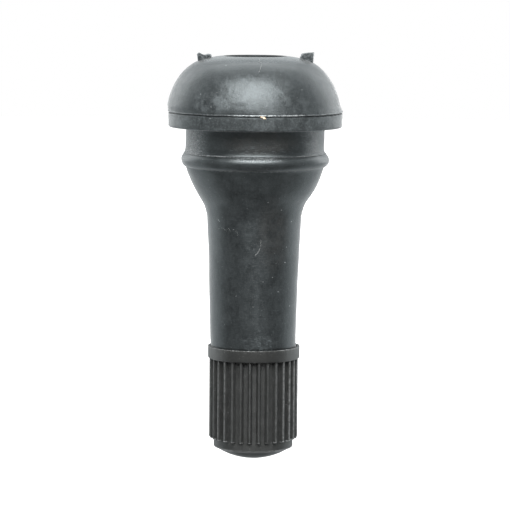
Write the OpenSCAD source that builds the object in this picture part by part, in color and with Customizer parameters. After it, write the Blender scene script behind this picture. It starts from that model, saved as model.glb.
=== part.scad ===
// Snap-in tyre valve: a rubber body moulded round a brass stem, a sprung valve core inside
// the stem and a ribbed screw cap on its mouth. Lengths are in millimetres.
// The valve stands on its axis with the head up. Zero is the seat plane: the flat underside
// of the head's rim, which bears on the inside of the wheel rim.

/* [Rubber head] */
// Diameter of the dome at its lower edge
head_d = 19; // [17:0.1:21]
// Height of the dome's crown, which the recess opens, above the seat plane
head_h = 7.87; // [6.8:0.01:9]
// Step in from the dome's lower edge to the upright land under it
land_step = 0.08; // [0.02:0.01:0.3]
// Height of the land, from the seat plane to the parting line
land_h = 1.5; // [1:0.05:2]
// Diameter of the mouth of the recess in the head
recess_d = 6.86; // [6:0.02:7.6]
// Diameter of the recess at its floor
recess_floor_d = 6.2; // [5.6:0.1:6.6]
// Depth of the recess
recess_depth = 5.62; // [4.5:0.02:6]

/* [Rubber neck and bead] */
// Diameter of the groove that the wheel rim closes on
neck_d = 15.04; // [14:0.02:15.6]
// Height of the groove, from the seat plane to the top of the bead
neck_h = 2.85; // [2:0.05:4]
// Diameter over the snap bead
bead_d = 16.1; // [15.7:0.1:17]
// Height of the bead
bead_h = 1.55; // [1.3:0.05:2]

/* [Rubber stem] */
// Diameter where the cone leaves the bead
cone_d = 15.1; // [14:0.1:15.4]
// Height of the cone, from the bead to the straight stem
cone_h = 5.4; // [4:0.1:7]
// Diameter of the stem under the cone
stem_top_d = 10.36; // [9.8:0.02:11]
// Diameter of the stem where it has lost most of its taper
stem_mid_d = 9.95; // [9.5:0.01:10.2]
// Diameter of the stem at the cap
stem_low_d = 9.32; // [9.2:0.02:9.6]
// Length of the rubber below the seat plane
rubber_l = 24.86; // [22:0.02:26]

/* [Brass stem] */
// Length of the brass below the seat plane, to the mouth of the stem
stem_l = 33.3; // [31:0.1:36]
// Major diameter of the outside thread that takes the cap
thread_d = 7.7; // [7.5:0.02:7.9]
// Diameter of the brass inside the rubber
shank_d = 6.9; // [6.4:0.1:7.2]
// Diameter of the waist under the foot
waist_d = 5.8; // [5.2:0.1:6.4]
// Diameter of the foot
foot_d = 7.8; // [7.4:0.1:8.4]
// Height of the foot
foot_h = 1.3; // [1:0.1:1.6]
// Diameter over the bonding barbs
barb_d = 7.5; // [7.3:0.1:7.8]
// Number of bonding barbs
barb_count = 4; // [2:1:6]
// Diameter of the bore that takes the valve core's thread
core_bore_d = 5.2; // [5.1:0.02:5.3]
// Depth of that bore from the mouth
core_bore_depth = 5.6; // [5.5:0.05:6]
// Length of the tapered seat behind it
seat_taper_l = 1.6; // [1.5:0.05:2.2]
// Diameter of the chamber behind the seat
chamber_d = 4.1; // [4:0.02:4.3]
// Depth of the chamber from the mouth
chamber_depth = 17.5; // [16:0.1:20]
// Diameter of the air passage through the foot
passage_d = 2.6; // [2:0.1:3.2]

/* [Valve core] */
// Diameter over the nut's thread
nut_d = 5.1; // [5:0.01:5.14]
// Distance of the nut's key bar from the stem's mouth
nut_inset = 0.9; // [0.8:0.05:1.1]
// Length of the key bar in front of the nut's ring
bar_l = 1.5; // [1.2:0.05:1.7]
// Width of the key bar
bar_w = 4.4; // [4.2:0.05:4.6]
// Thickness of the key bar
bar_t = 1.8; // [1.4:0.05:2.2]
// Depth of the bar's root inside the ring
bar_root = 0.9; // [0.6:0.05:1]
// Length of the nut's ring
nut_ring_l = 2.55; // [2.4:0.05:2.8]
// Thickness of the lip that is rolled in under the barrel's collar
nut_lip = 0.5; // [0.4:0.05:0.6]
// Diameter of the barrel's collar, on which the nut swivels
collar_d = 4; // [3.8:0.02:4.05]
// Thickness of the barrel's collar
collar_t = 0.45; // [0.35:0.05:0.5]
// Diameter of the barrel's neck
barrel_neck_d = 3.3; // [3.1:0.02:3.4]
// Diameter of the shoulder that holds the packing ring
shoulder_d = 4.4; // [4.2:0.05:4.6]
// Diameter of the barrel under the packing ring
packing_bore_d = 3.5; // [3.2:0.05:3.6]
// Length of the packing ring
packing_l = 1.4; // [1.2:0.05:1.5]
// Diameter of the barrel's tube
barrel_d = 3.7; // [3.4:0.05:3.8]
// Distance of the barrel's valve seat from the stem's mouth
barrel_end = 12.5; // [12:0.1:13.4]
// Diameter of the spring chamber in the barrel
barrel_bore_d = 2.7; // [2.6:0.02:2.8]
// Length of the ledge that the spring stands on, with the seat lip
ledge_l = 0.9; // [0.7:0.1:1.2]
// Diameter of the air hole through the ledge
ledge_bore_d = 1.9; // [1.7:0.05:2]
// Diameter of the pin
pin_d = 1.2; // [1:0.05:1.3]
// Diameter of the pin's tip
tip_d = 1.9; // [1.7:0.05:2]
// Length of the pin's tip
tip_l = 0.5; // [0.4:0.05:0.6]
// Distance of the pin's tip from the stem's mouth
tip_inset = 0.25; // [0.2:0.05:0.5]
// Diameter of the crimped collar that the spring pushes on
crimp_d = 2.4; // [2.2:0.05:2.5]
// Outside diameter of the cup on the pin's inner end
cup_d = 3.7; // [3.5:0.05:3.8]
// Wall of the cup
cup_wall = 0.23; // [0.15:0.01:0.3]
// Thickness of the seat gasket
gasket_t = 0.7; // [0.5:0.05:0.9]
// Diameter of the spring's wire
wire_d = 0.28; // [0.2:0.02:0.32]
// Outside diameter of the spring
spring_d = 2.4; // [2.2:0.05:2.5]
// Number of turns of the spring
spring_turns = 8; // [6:1:10]

/* [Cap] */
// Diameter of the collar at the cap's mouth
cap_collar_d = 10.08; // [9.9:0.02:10.6]
// Height of the collar
cap_collar_h = 1.33; // [1.2:0.05:1.8]
// Depth of the plain mouth that goes over the rubber's end
mouth_depth = 1; // [0.8:0.05:1.2]
// Diameter over the grip ribs
rib_d = 9.74; // [9.4:0.02:9.9]
// Diameter of the cap between the ribs and at its nose
cap_d = 8.72; // [8.6:0.02:9]
// Number of grip ribs
rib_count = 30; // [20:1:36]
// Height of the plain nose under the ribs
nose_h = 0.8; // [0.7:0.05:1.4]
// Height of the crowned end
crown_h = 1.3; // [0.8:0.05:1.6]
// Thickness of the end wall at the rim of the crown
end_wall = 0.9; // [0.6:0.05:1]
// Thickness of the seal washer
seal_t = 1; // [0.8:0.05:1.1]
// Diameter of the hole in the seal washer
seal_hole_d = 2.8; // [2.4:0.05:3.4]

/* [Fits] */
// Radial play between the cap's bore and the thread
thread_play = 0.05; // [0.02:0.01:0.1]
// Radial play between the cap's mouth and the rubber
mouth_play = 0.08; // [0.05:0.01:0.1]
// Gap between the rubber's end and the shoulder in the cap's mouth
mouth_gap = 0.2; // [0.1:0.02:0.3]
// Radial play of the core's turning and sliding pieces
core_play = 0.05; // [0.03:0.01:0.08]
// Gap between faces that meet when the valve is shut
face_gap = 0.05; // [0.03:0.01:0.08]

/* [Hidden] */

// Facets of a full turn, and steps of a curved stretch of an outline
$fn = 96;
curve_steps = 14;
arc_steps = 8;
// How far a cut runs past the face it opens
overrun = 1;

// Rubber: edges, the parting line and the torn moulding stubs
edge_r = 0.2;
mouth_edge_r = 0.28;
neck_fillet = 0.3;
parting_h = 0.16;
parting_depth = 0.18;
flare_h = 0.7;
flare_out = 0.24;
stem_end_r = 0.25;
cone_handle_shares = [[0.5, 0.687], [0.145, 0.578]];
stem_mid_share = 0.26;
dome_flat_power = 3.94;
dome_side_power = 1.62;
dome_rise = head_h - land_h - parting_h;
land_d = head_d - 2 * land_step;

// Torn moulding stubs: outlines as shares of their width and height, from the foot's middle
stub_x = 5.66;
stub_w = 1.62;
stub_t = 1.3;
stub_h = 1.6;
stub_rise = 0.3;
whole_stub_shares = [[-0.5, 0], [0.37, 0], [0.5, 1], [0.03, 0.97], [-0.38, 0.88], [-0.5, 0.64]];
forked_stub_shares = [[-0.54, 0], [0.28, 0], [0.44, 0.8], [0.33, 0.93], [-0.07, 0.76],
                      [-0.35, 0.84], [-0.54, 0.8], [-0.57, 0.64]];

// Brass: places along the axis
mouth_z = -stem_l;
recess_floor_z = head_h - recess_depth;
foot_z = recess_floor_z - foot_h;
waist_l = 6;
waist_blend = 1.2;
shank_z = foot_z - waist_l;
thread_top_z = -rubber_l + edge_r;
stem_chamfer = 0.35;
bore_chamfer = 0.3;
passage_chamfer = 0.35;
barb_l = 1.5;
barb_share = 0.55;
barb_span = shank_z - thread_top_z;

// Valve core: places measured in from the stem's mouth
ring_at = nut_inset + bar_l;
cavity_d = collar_d + 2 * core_play;
collar_at = ring_at + nut_ring_l - nut_lip - face_gap - collar_t;
shoulder_at = ring_at + nut_ring_l + 2 * face_gap;
shoulder_l = 0.45;
packing_at = shoulder_at + shoulder_l;
tube_at = packing_at + packing_l + face_gap;
seat_lip_l = 0.45;
seat_lip_t = 0.22;
spring_floor_at = barrel_end - ledge_l;
crimp_at = packing_at + face_gap;
crimp_t = 0.4;
spring_l = spring_floor_at - crimp_at - crimp_t;
gasket_at = barrel_end + face_gap;
cup_floor_at = gasket_at + gasket_t;
cup_reach = 0.55;
cup_floor_t = 0.35;
rivet_t = 0.3;
rivet_d = 1.8;
pin_edge = 0.12;
wire_steps = 22;
wire_sides = 8;

// Cap: places along the axis
cap_top_z = mouth_depth - mouth_gap - rubber_l;
mouth_taper = 0.35;
cap_floor_z = mouth_z - face_gap - seal_t;
nose_z = cap_floor_z - end_wall;
rib_low_z = nose_z + nose_h;
rib_high_z = cap_top_z - cap_collar_h;
collar_edge = 0.12;
nose_edge = 0.15;
rib_share = 0.5;
rib_top_share = 0.72;
rib_phase = 7.2;
rib_end_h = 0.25;
cap_bore_d = thread_d + 2 * thread_play;

rubber_colour = "#3d4143";
cap_colour = "#36383a";
seal_colour = "#1f2021";
brass_colour = "#b89a5a";
steel_colour = "#a9abad";
packing_colour = "#7c2f26";

// Points of an arc about a centre, from one angle to another
function arc(centre, r, from, to, steps = arc_steps) =
    [for (i = [0 : steps]) let (a = from + (to - from) * i / steps)
        centre + r * [cos(a), sin(a)]];

// Points of a cubic curve with two handles
function bezier(a, b, c, d, steps = curve_steps) =
    [for (i = [0 : steps]) let (t = i / steps, u = 1 - t)
        u * u * u * a + 3 * u * u * t * b + 3 * u * t * t * c + t * t * t * d];

// The dome, a flattened superellipse from its lower edge up to the mouth of the recess
function dome_radius(z) = head_d / 2
    * pow(max(0, 1 - pow(z / dome_rise, dome_side_power)), 1 / dome_flat_power);
function dome_height(r) = dome_rise
    * pow(max(0, 1 - pow(2 * r / head_d, dome_flat_power)), 1 / dome_side_power);
function dome_points() = let (last = dome_height(recess_d / 2 + mouth_edge_r) / dome_rise)
    [for (i = [0 : curve_steps]) let (z = dome_rise * last * sin(90 * i / curve_steps))
        [dome_radius(z), land_h + parting_h + z]];
function dome_top_z() = land_h + parting_h + dome_height(recess_d / 2 + mouth_edge_r);

// The bead under the groove, a low round ring
function bead_points() = let (half = bead_h / 2, bulge = (bead_d - cone_d) / 2,
        r = (half * half + bulge * bulge) / (2 * bulge), reach = asin(half / r))
    arc([bead_d / 2 - r, -neck_h - half], r, reach, -reach);

// The rubber's outside, from the mouth of the recess down to the end of the stem
function rubber_outline() = let (neck_r = neck_d / 2, land_r = land_d / 2,
        cone_z = -neck_h - bead_h, stem_z = cone_z - cone_h, width = (cone_d - stem_top_d) / 2,
        handle = [for (s = cone_handle_shares)
            [stem_top_d / 2 + width * s[0], cone_z - cone_h * s[1]]])
    concat(
        [for (i = [curve_steps : -1 : 0]) dome_points()[i]],
        [[land_r - parting_depth, land_h + parting_h / 2], [land_r, land_h]],
        arc([land_r - edge_r, edge_r], edge_r, 0, -90),
        arc([neck_r + neck_fillet, -neck_fillet], neck_fillet, 90, 180),
        bezier([neck_r, flare_h - neck_h], [neck_r, flare_h / 3 - neck_h],
               [neck_r + flare_out / 2, -neck_h], [neck_r + flare_out, -neck_h], arc_steps),
        bead_points(),
        bezier([cone_d / 2, cone_z], handle[0], handle[1], [stem_top_d / 2, stem_z]),
        [[stem_mid_d / 2, stem_z + (-rubber_l - stem_z) * stem_mid_share]],
        arc([stem_low_d / 2 - stem_end_r, stem_end_r - rubber_l], stem_end_r, 0, -90));

// The recess in the head, from its mouth down to the brass foot
function recess_outline() = concat(
    [[0, dome_top_z() + overrun], [recess_d / 2 + mouth_edge_r, dome_top_z() + overrun]],
    arc([recess_d / 2 + mouth_edge_r, dome_top_z() - mouth_edge_r], mouth_edge_r, 90, 180),
    [[recess_floor_d / 2, recess_floor_z], [0, recess_floor_z]]);

// The outside of the brass inside the rubber
function barb_outline() = [for (i = [0 : barb_count - 1])
    let (z = shank_z - barb_span * barb_share * (i + 1) / barb_count)
    each [[shank_d / 2, z + barb_l], [barb_d / 2, z], [shank_d / 2, z]]];
function shank_outline() = concat(
    [[0, recess_floor_z], [foot_d / 2, recess_floor_z], [foot_d / 2, foot_z],
     [waist_d / 2, foot_z - waist_blend], [waist_d / 2, shank_z + waist_blend],
     [shank_d / 2, shank_z]],
    barb_outline(),
    [[shank_d / 2, thread_top_z], [thread_d / 2, thread_top_z]]);

// A torn moulding stub, its foot sunk in the dome
module stub(shares) {
    translate([stub_x, stub_t / 2, head_h + stub_rise - stub_h]) rotate([90, 0, 0])
        linear_extrude(stub_t) polygon([for (p = shares) [p[0] * stub_w, p[1] * stub_h]]);
}

module rubber_body() {
    color(rubber_colour) {
        rotate_extrude() difference() {
            polygon(concat([[0, dome_top_z()]], rubber_outline(), [[0, -rubber_l]]));
            polygon(recess_outline());
            polygon(concat(shank_outline(), [[thread_d / 2, -rubber_l - overrun],
                                             [0, -rubber_l - overrun]]));
        }
        stub(whole_stub_shares);
        mirror([1, 0, 0]) stub(forked_stub_shares);
    }
}

// The way through the brass: chamfered mouth, core bore, tapered seat, chamber and passage
function bore_outline() = let (taper_at = mouth_z + core_bore_depth,
        chamber_at = taper_at + seat_taper_l, passage_at = mouth_z + chamber_depth)
    [[0, mouth_z - overrun],
     [core_bore_d / 2 + bore_chamfer + overrun, mouth_z - overrun],
     [core_bore_d / 2, mouth_z + bore_chamfer], [core_bore_d / 2, taper_at],
     [chamber_d / 2, chamber_at], [chamber_d / 2, passage_at],
     [passage_d / 2, passage_at + (chamber_d - passage_d) / 2],
     [passage_d / 2, recess_floor_z - passage_chamfer],
     [passage_d / 2 + passage_chamfer + overrun, recess_floor_z + overrun],
     [0, recess_floor_z + overrun]];

module brass_stem() {
    color(brass_colour) rotate_extrude() difference() {
        polygon(concat(shank_outline(),
            [[thread_d / 2, mouth_z + stem_chamfer], [thread_d / 2 - stem_chamfer, mouth_z],
             [0, mouth_z]]));
        polygon(bore_outline());
    }
}

// Stands a piece at a distance in from the stem's mouth
module from_mouth(distance) {
    translate([0, 0, mouth_z + distance]) children();
}

module tube(outer_d, inner_d, length) {
    difference() {
        cylinder(d = outer_d, h = length);
        translate([0, 0, -overrun]) cylinder(d = inner_d, h = length + 2 * overrun);
    }
}

// The nut: a ring with a key bar across its mouth and a lip rolled in round the barrel's neck
module core_nut() {
    bar_bore_d = tip_d + 4 * core_play;
    color(brass_colour) {
        from_mouth(ring_at) tube(nut_d, cavity_d, nut_ring_l - nut_lip);
        from_mouth(ring_at + nut_ring_l - nut_lip)
            tube(nut_d, barrel_neck_d + 2 * core_play, nut_lip);
        from_mouth(nut_inset) difference() {
            intersection() {
                translate([-bar_w / 2, -bar_t / 2, 0]) cube([bar_w, bar_t, bar_l + bar_root]);
                cylinder(d = bar_w, h = bar_l + bar_root);
            }
            translate([0, 0, -overrun])
                cylinder(d = bar_bore_d, h = bar_l + bar_root + 2 * overrun);
        }
    }
}

// The barrel: swivel collar, neck, shoulder, packing seat and tube, with a seat lip at its end
module core_barrel() {
    color(brass_colour) rotate_extrude() difference() {
        polygon([for (p = [
            [0, collar_at], [collar_d / 2, collar_at], [collar_d / 2, collar_at + collar_t],
            [barrel_neck_d / 2, collar_at + collar_t], [barrel_neck_d / 2, shoulder_at],
            [shoulder_d / 2, shoulder_at], [shoulder_d / 2, packing_at],
            [packing_bore_d / 2, packing_at], [packing_bore_d / 2, tube_at],
            [barrel_d / 2, tube_at], [barrel_d / 2, barrel_end - seat_lip_l],
            [ledge_bore_d / 2 + 2 * seat_lip_t, barrel_end - seat_lip_l],
            [ledge_bore_d / 2 + seat_lip_t, barrel_end], [0, barrel_end]])
            p + [0, mouth_z]]);
        polygon([for (p = [
            [0, collar_at - overrun], [barrel_bore_d / 2, collar_at - overrun],
            [barrel_bore_d / 2, spring_floor_at], [ledge_bore_d / 2, spring_floor_at],
            [ledge_bore_d / 2, barrel_end + overrun], [0, barrel_end + overrun]])
            p + [0, mouth_z]]);
    }
}

// The ring that seals the barrel in the stem's tapered seat
module barrel_packing() {
    slope = (core_bore_d - chamber_d) / 2 / seat_taper_l;
    wide = core_bore_d / 2 - 2 * core_play;
    end_at = packing_at + packing_l;
    narrow = core_bore_d / 2 - slope * (end_at - core_bore_depth) - core_play;
    color(packing_colour) rotate_extrude()
        polygon([for (p = [
            [packing_bore_d / 2, packing_at], [wide - edge_r / 2, packing_at],
            [wide, packing_at + edge_r / 2], [narrow, end_at], [packing_bore_d / 2, end_at]])
            p + [0, mouth_z]]);
}

// The pin: a flat tip, a shank with a crimped collar for the spring, and a riveted inner end
module core_pin() {
    shank_end = cup_floor_at + cup_floor_t;
    color(brass_colour) rotate_extrude()
        polygon([for (p = [
            [0, tip_inset], [tip_d / 2 - pin_edge, tip_inset],
            [tip_d / 2, tip_inset + pin_edge], [tip_d / 2, tip_inset + tip_l],
            [pin_d / 2, tip_inset + tip_l + pin_edge], [pin_d / 2, crimp_at],
            [crimp_d / 2, crimp_at], [crimp_d / 2, crimp_at + crimp_t],
            [pin_d / 2, crimp_at + crimp_t], [pin_d / 2, shank_end],
            [rivet_d / 2, shank_end], [rivet_d / 2 - pin_edge, shank_end + rivet_t],
            [0, shank_end + rivet_t]])
            p + [0, mouth_z]]);
}

// The cup on the pin's inner end, open towards the barrel
module seat_cup() {
    color(brass_colour) from_mouth(cup_floor_at - cup_reach) {
        tube(cup_d, cup_d - 2 * cup_wall, cup_reach);
        translate([0, 0, cup_reach]) tube(cup_d, pin_d, cup_floor_t);
    }
}

// The rubber washer in the cup, which closes on the barrel's seat lip
module seat_gasket() {
    color(seal_colour) from_mouth(gasket_at) tube(cup_d - 2 * cup_wall, pin_d, gasket_t);
}

// The spring between the barrel's ledge and the pin's crimped collar: one swept wire
module core_spring() {
    radius = (spring_d - wire_d) / 2;
    rise = spring_l - wire_d - 2 * face_gap;
    rings = spring_turns * wire_steps;
    base = mouth_z + crimp_at + crimp_t + face_gap + wire_d / 2;
    points = [for (i = [0 : rings], j = [0 : wire_sides - 1])
        let (turn = 360 * i / wire_steps, side = 360 * j / wire_sides,
             r = radius + wire_d / 2 * cos(side))
        [r * cos(turn), r * sin(turn), base + rise * i / rings + wire_d / 2 * sin(side)]];
    sides = [for (i = [0 : rings - 1], j = [0 : wire_sides - 1])
        let (k = (j + 1) % wire_sides, a = i * wire_sides)
        [a + j, a + k, a + wire_sides + k, a + wire_sides + j]];
    ends = [[for (j = [wire_sides - 1 : -1 : 0]) j],
            [for (j = [0 : wire_sides - 1]) rings * wire_sides + j]];
    color(steel_colour) polyhedron(points, concat(sides, ends));
}

// The cap's plain form: collar, wall and crowned end
function cap_outline() = let (top_r = cap_collar_d / 2, nose_r = cap_d / 2,
        crown_r = nose_r - nose_edge,
        ball_r = (crown_r * crown_r + crown_h * crown_h) / (2 * crown_h),
        reach = asin(crown_r / ball_r))
    concat(
        [[0, cap_top_z]],
        arc([top_r - collar_edge, cap_top_z - collar_edge], collar_edge, 90, 0),
        arc([top_r - collar_edge, rib_high_z + collar_edge], collar_edge, 0, -90),
        [[nose_r, rib_high_z], [nose_r, nose_z + nose_edge]],
        arc([0, nose_z - crown_h + ball_r], ball_r, reach - 90, -90));

// The hollow of the cap: mouth that takes the rubber's end, taper and thread bore
function cap_hollow() = let (mouth_r = stem_low_d / 2 + mouth_play)
    [[0, cap_top_z + overrun], [mouth_r, cap_top_z + overrun],
     [mouth_r, cap_top_z - mouth_depth],
     [cap_bore_d / 2, cap_top_z - mouth_depth - mouth_taper],
     [cap_bore_d / 2, cap_floor_z], [0, cap_floor_z]];

// One grip rib, a low flat-topped ridge with a sloped lower end
module grip_rib() {
    base = 180 / rib_count * rib_share;
    top = base * rib_top_share;
    root_r = cap_d / 2 - collar_edge;
    top_r = rib_d / 2;
    difference() {
        translate([0, 0, rib_low_z]) linear_extrude(rib_high_z - rib_low_z + collar_edge)
            polygon([root_r * [cos(base), -sin(base)], top_r * [cos(top), -sin(top)],
                     top_r * [1, 0],
                     top_r * [cos(top), sin(top)], root_r * [cos(base), sin(base)]]);
        translate([0, top_r / 2, rib_low_z]) rotate([90, 0, 0]) linear_extrude(top_r)
            polygon([[cap_d / 2, -overrun], [cap_d / 2, 0], [top_r, rib_end_h],
                     [top_r + overrun, rib_end_h], [top_r + overrun, -overrun]]);
    }
}

module cap_shell() {
    color(cap_colour) {
        rotate_extrude() difference() {
            polygon(cap_outline());
            polygon(cap_hollow());
        }
        for (i = [0 : rib_count - 1])
            rotate(rib_phase - 90 + 360 * i / rib_count) grip_rib();
    }
}

// The washer that closes the stem's mouth under the cap
module cap_seal() {
    color(seal_colour) translate([0, 0, cap_floor_z])
        tube(cap_bore_d - 2 * thread_play, seal_hole_d, seal_t);
}

rubber_body();
brass_stem();
core_nut();
core_barrel();
barrel_packing();
core_pin();
seat_cup();
seat_gasket();
core_spring();
cap_shell();
cap_seal();
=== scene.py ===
"""A snap-in tyre valve, dressed for a close look: moulded rubber with dust, torn stubs and a
ragged mould line, threaded brass, a ribbed cap and the sprung core inside. Lengths are in metres."""

import math
from types import SimpleNamespace

import bmesh
import bpy
from bpy.props import FloatProperty, FloatVectorProperty, IntProperty, PointerProperty
from mathutils import Matrix, Vector, noise


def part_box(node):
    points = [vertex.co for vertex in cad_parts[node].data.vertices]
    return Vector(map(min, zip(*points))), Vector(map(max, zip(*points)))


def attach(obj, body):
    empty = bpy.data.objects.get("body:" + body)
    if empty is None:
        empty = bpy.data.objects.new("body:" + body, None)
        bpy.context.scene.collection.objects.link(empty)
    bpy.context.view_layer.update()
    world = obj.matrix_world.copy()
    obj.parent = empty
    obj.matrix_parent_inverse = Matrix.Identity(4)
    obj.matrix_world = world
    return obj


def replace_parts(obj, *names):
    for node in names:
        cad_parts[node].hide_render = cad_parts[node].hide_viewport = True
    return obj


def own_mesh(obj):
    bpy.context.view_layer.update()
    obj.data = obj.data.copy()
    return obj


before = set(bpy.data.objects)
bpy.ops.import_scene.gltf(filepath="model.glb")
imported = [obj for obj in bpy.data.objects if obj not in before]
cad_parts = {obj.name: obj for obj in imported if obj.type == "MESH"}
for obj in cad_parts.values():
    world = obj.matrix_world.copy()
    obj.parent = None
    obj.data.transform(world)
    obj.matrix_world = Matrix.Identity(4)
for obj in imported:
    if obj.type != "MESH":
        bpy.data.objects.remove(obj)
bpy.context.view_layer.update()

bl_info = {
    "name": "Tyre Valve",
    "version": (1, 0, 0),
    "blender": (4, 5, 0),
    "location": "3D View > Sidebar > Valve",
    "description": "Builds the visible pieces of a snap-in tyre valve and its studio",
    "category": "Add Mesh",
}

MM = 0.001
INCH = 25.4 * MM
TURN = 2 * math.pi
WELD = 2e-6  # points nearer than this are one
SKIN = 0.02 * MM  # clearance between pieces that touch

# Exponents of the dome's outline, fitted to the photograph
DOME_FLAT, DOME_SIDE = 3.94, 1.62
DOME_STEPS = 56  # rows of points from the dome's lower edge to the recess
# Handles of the cone's hollow curve, as shares of its width and its height
CONE_HANDLES = ((0.5, 0.687), (0.145, 0.578))
# How far down the stem its tapers meet, and how far down the shank the barbs reach
STEM_BEND_SHARE, BARBED_SHARE = 0.26, 0.55

rubber_low, rubber_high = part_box("rubber_body")
brass_low, brass_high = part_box("brass_stem")
cap_low, cap_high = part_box("cap_shell")
nut_low, nut_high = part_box("core_nut")
seal_low, seal_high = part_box("cap_seal")
spring_low, spring_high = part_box("core_spring")


def length(label, description, default):
    return FloatProperty(name=label, description=description, default=default, min=0.0,
                         precision=5, unit="LENGTH", subtype="DISTANCE")


def height(label, description, default):
    return FloatProperty(name=label, description=description, default=default,
                         precision=5, unit="LENGTH", subtype="DISTANCE")


def angle(label, description, degrees):
    return FloatProperty(name=label, description=description, default=math.radians(degrees),
                         subtype="ANGLE", unit="ROTATION")


def colour(label, description, default):
    return FloatVectorProperty(name=label, description=description, default=default,
                               size=3, min=0.0, max=1.0, subtype="COLOR")


class RubberSizes(bpy.types.PropertyGroup):
    """Sizes of the moulded rubber body."""
    head_radius: length("Head radius", "Radius of the dome at its lower edge", rubber_high.x)
    crown_height: height("Crown height", "Height of the dome's crown over the seat plane", 7.87 * MM)
    land_height: length("Land height", "Height of the upright land under the mould line", 1.5 * MM)
    land_step: length("Land step", "Step in from the dome's lower edge to the land", 0.01 * MM)
    land_edge: length("Land edge", "Rounding between the land and the seat", 0.2 * MM)
    line_height: length("Mould line height", "Height of the groove at the mould line", 0.16 * MM)
    line_depth: length("Mould line depth", "Depth of the groove at the mould line", 0.18 * MM)
    line_bend: length("Mould line bend", "Largest rounding at the mould line and its flash", 0.05 * MM)
    line_rag: length("Mould line rag", "How far the torn mould line wanders", 0.06 * MM)
    flash: length("Flash", "How far the thin flash stands out over the mould line", 0.05 * MM)
    flash_height: length("Flash height", "Height of the flash over the mould line", 0.12 * MM)
    recess_radius: length("Recess radius", "Radius of the recess at its mouth", 3.32 * MM)
    recess_foot: length("Recess foot", "Height of the upright foot of the recess", 0.2 * MM)
    recess_neck: height("Recess neck", "Height at which the recess is as wide as its mouth", 4 * MM)
    floor_radius: length("Recess floor radius", "Radius of the recess at the brass foot", 3.1 * MM)
    mouth_edge: length("Mouth edge", "Rounding of the mouth of the recess", 0.12 * MM)
    mouth_sag: length("Mouth sag", "How far the mouth of the recess has sunk", 0.085 * MM)
    seat_corner: length("Seat corner", "Rounding between the seat and the groove", 0.3 * MM)
    neck_radius: length("Neck radius", "Radius of the groove that the wheel rim closes on", 7.57 * MM)
    neck_height: length("Neck height", "Height of that groove", 2.85 * MM)
    flare_width: length("Flare width", "How far the groove widens at its foot", 0.24 * MM)
    flare_height: length("Flare height", "Height over which the groove widens", 0.7 * MM)
    flare_handle: length("Flare handle", "Length of the upper handle of that curve", 0.467 * MM)
    crease_width: length("Crease width", "From the groove out to the crease over the bead", 0.19 * MM)
    crease_depth: length("Crease depth", "Depth of that crease", 0.03 * MM)
    bead_radius: length("Bead radius", "Radius over the snap bead", 8.09 * MM)
    bead_height: length("Bead height", "Height of the snap bead", 1.55 * MM)
    bead_lift: length("Bead lift", "How far the bead's middle sits over half its height", 0.05 * MM)
    cone_radius: length("Cone radius", "Radius where the cone leaves the bead", 7.55 * MM)
    cone_height: length("Cone height", "Height of the cone under the bead", 5.4 * MM)
    stem_top_radius: length("Upper stem radius", "Radius of the stem under the cone", 5.18 * MM)
    stem_mid_radius: length("Middle stem radius", "Radius where the stem has lost most taper", 4.975 * MM)
    stem_low_radius: length("Lower stem radius", "Radius of the stem at the cap", 4.66 * MM)
    stem_bend: length("Stem bend", "Radius of the bend between the stem's two tapers", 4 * MM)
    end_height: height("Rubber's end", "Height of the rubber's lower end", rubber_low.z)
    end_edge: length("End edge", "Rounding of the rubber's lower end", 0.25 * MM)
    end_step: length("End step", "How far the brass shoulder sits inside the rubber's end", 0.2 * MM)
    stub_reach: length("Stub distance", "Distance of the torn stubs from the axis", 5.66 * MM)
    stub_width: length("Stub width", "Width of the torn stubs", 1.62 * MM)
    stub_height: length("Stub height", "Height of the torn stubs, with the foot in the dome", 1.6 * MM)
    stub_thickness: length("Stub thickness", "Thickness of the torn stubs", 1.3 * MM)
    stub_top: length("Stub top", "Height of the stubs over the crown", 0.3 * MM)
    stub_tear: length("Stub tear", "How far the torn ends of the stubs wander", 0.16 * MM)
    stub_edge: length("Stub edge", "Bevel of the stubs' edges", 0.05 * MM)
    facet: length("Facet", "Longest facet along the outline", 0.45 * MM)
    segments: IntProperty(name="Segments", description="Facets round the rubber", default=256, min=32)


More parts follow.
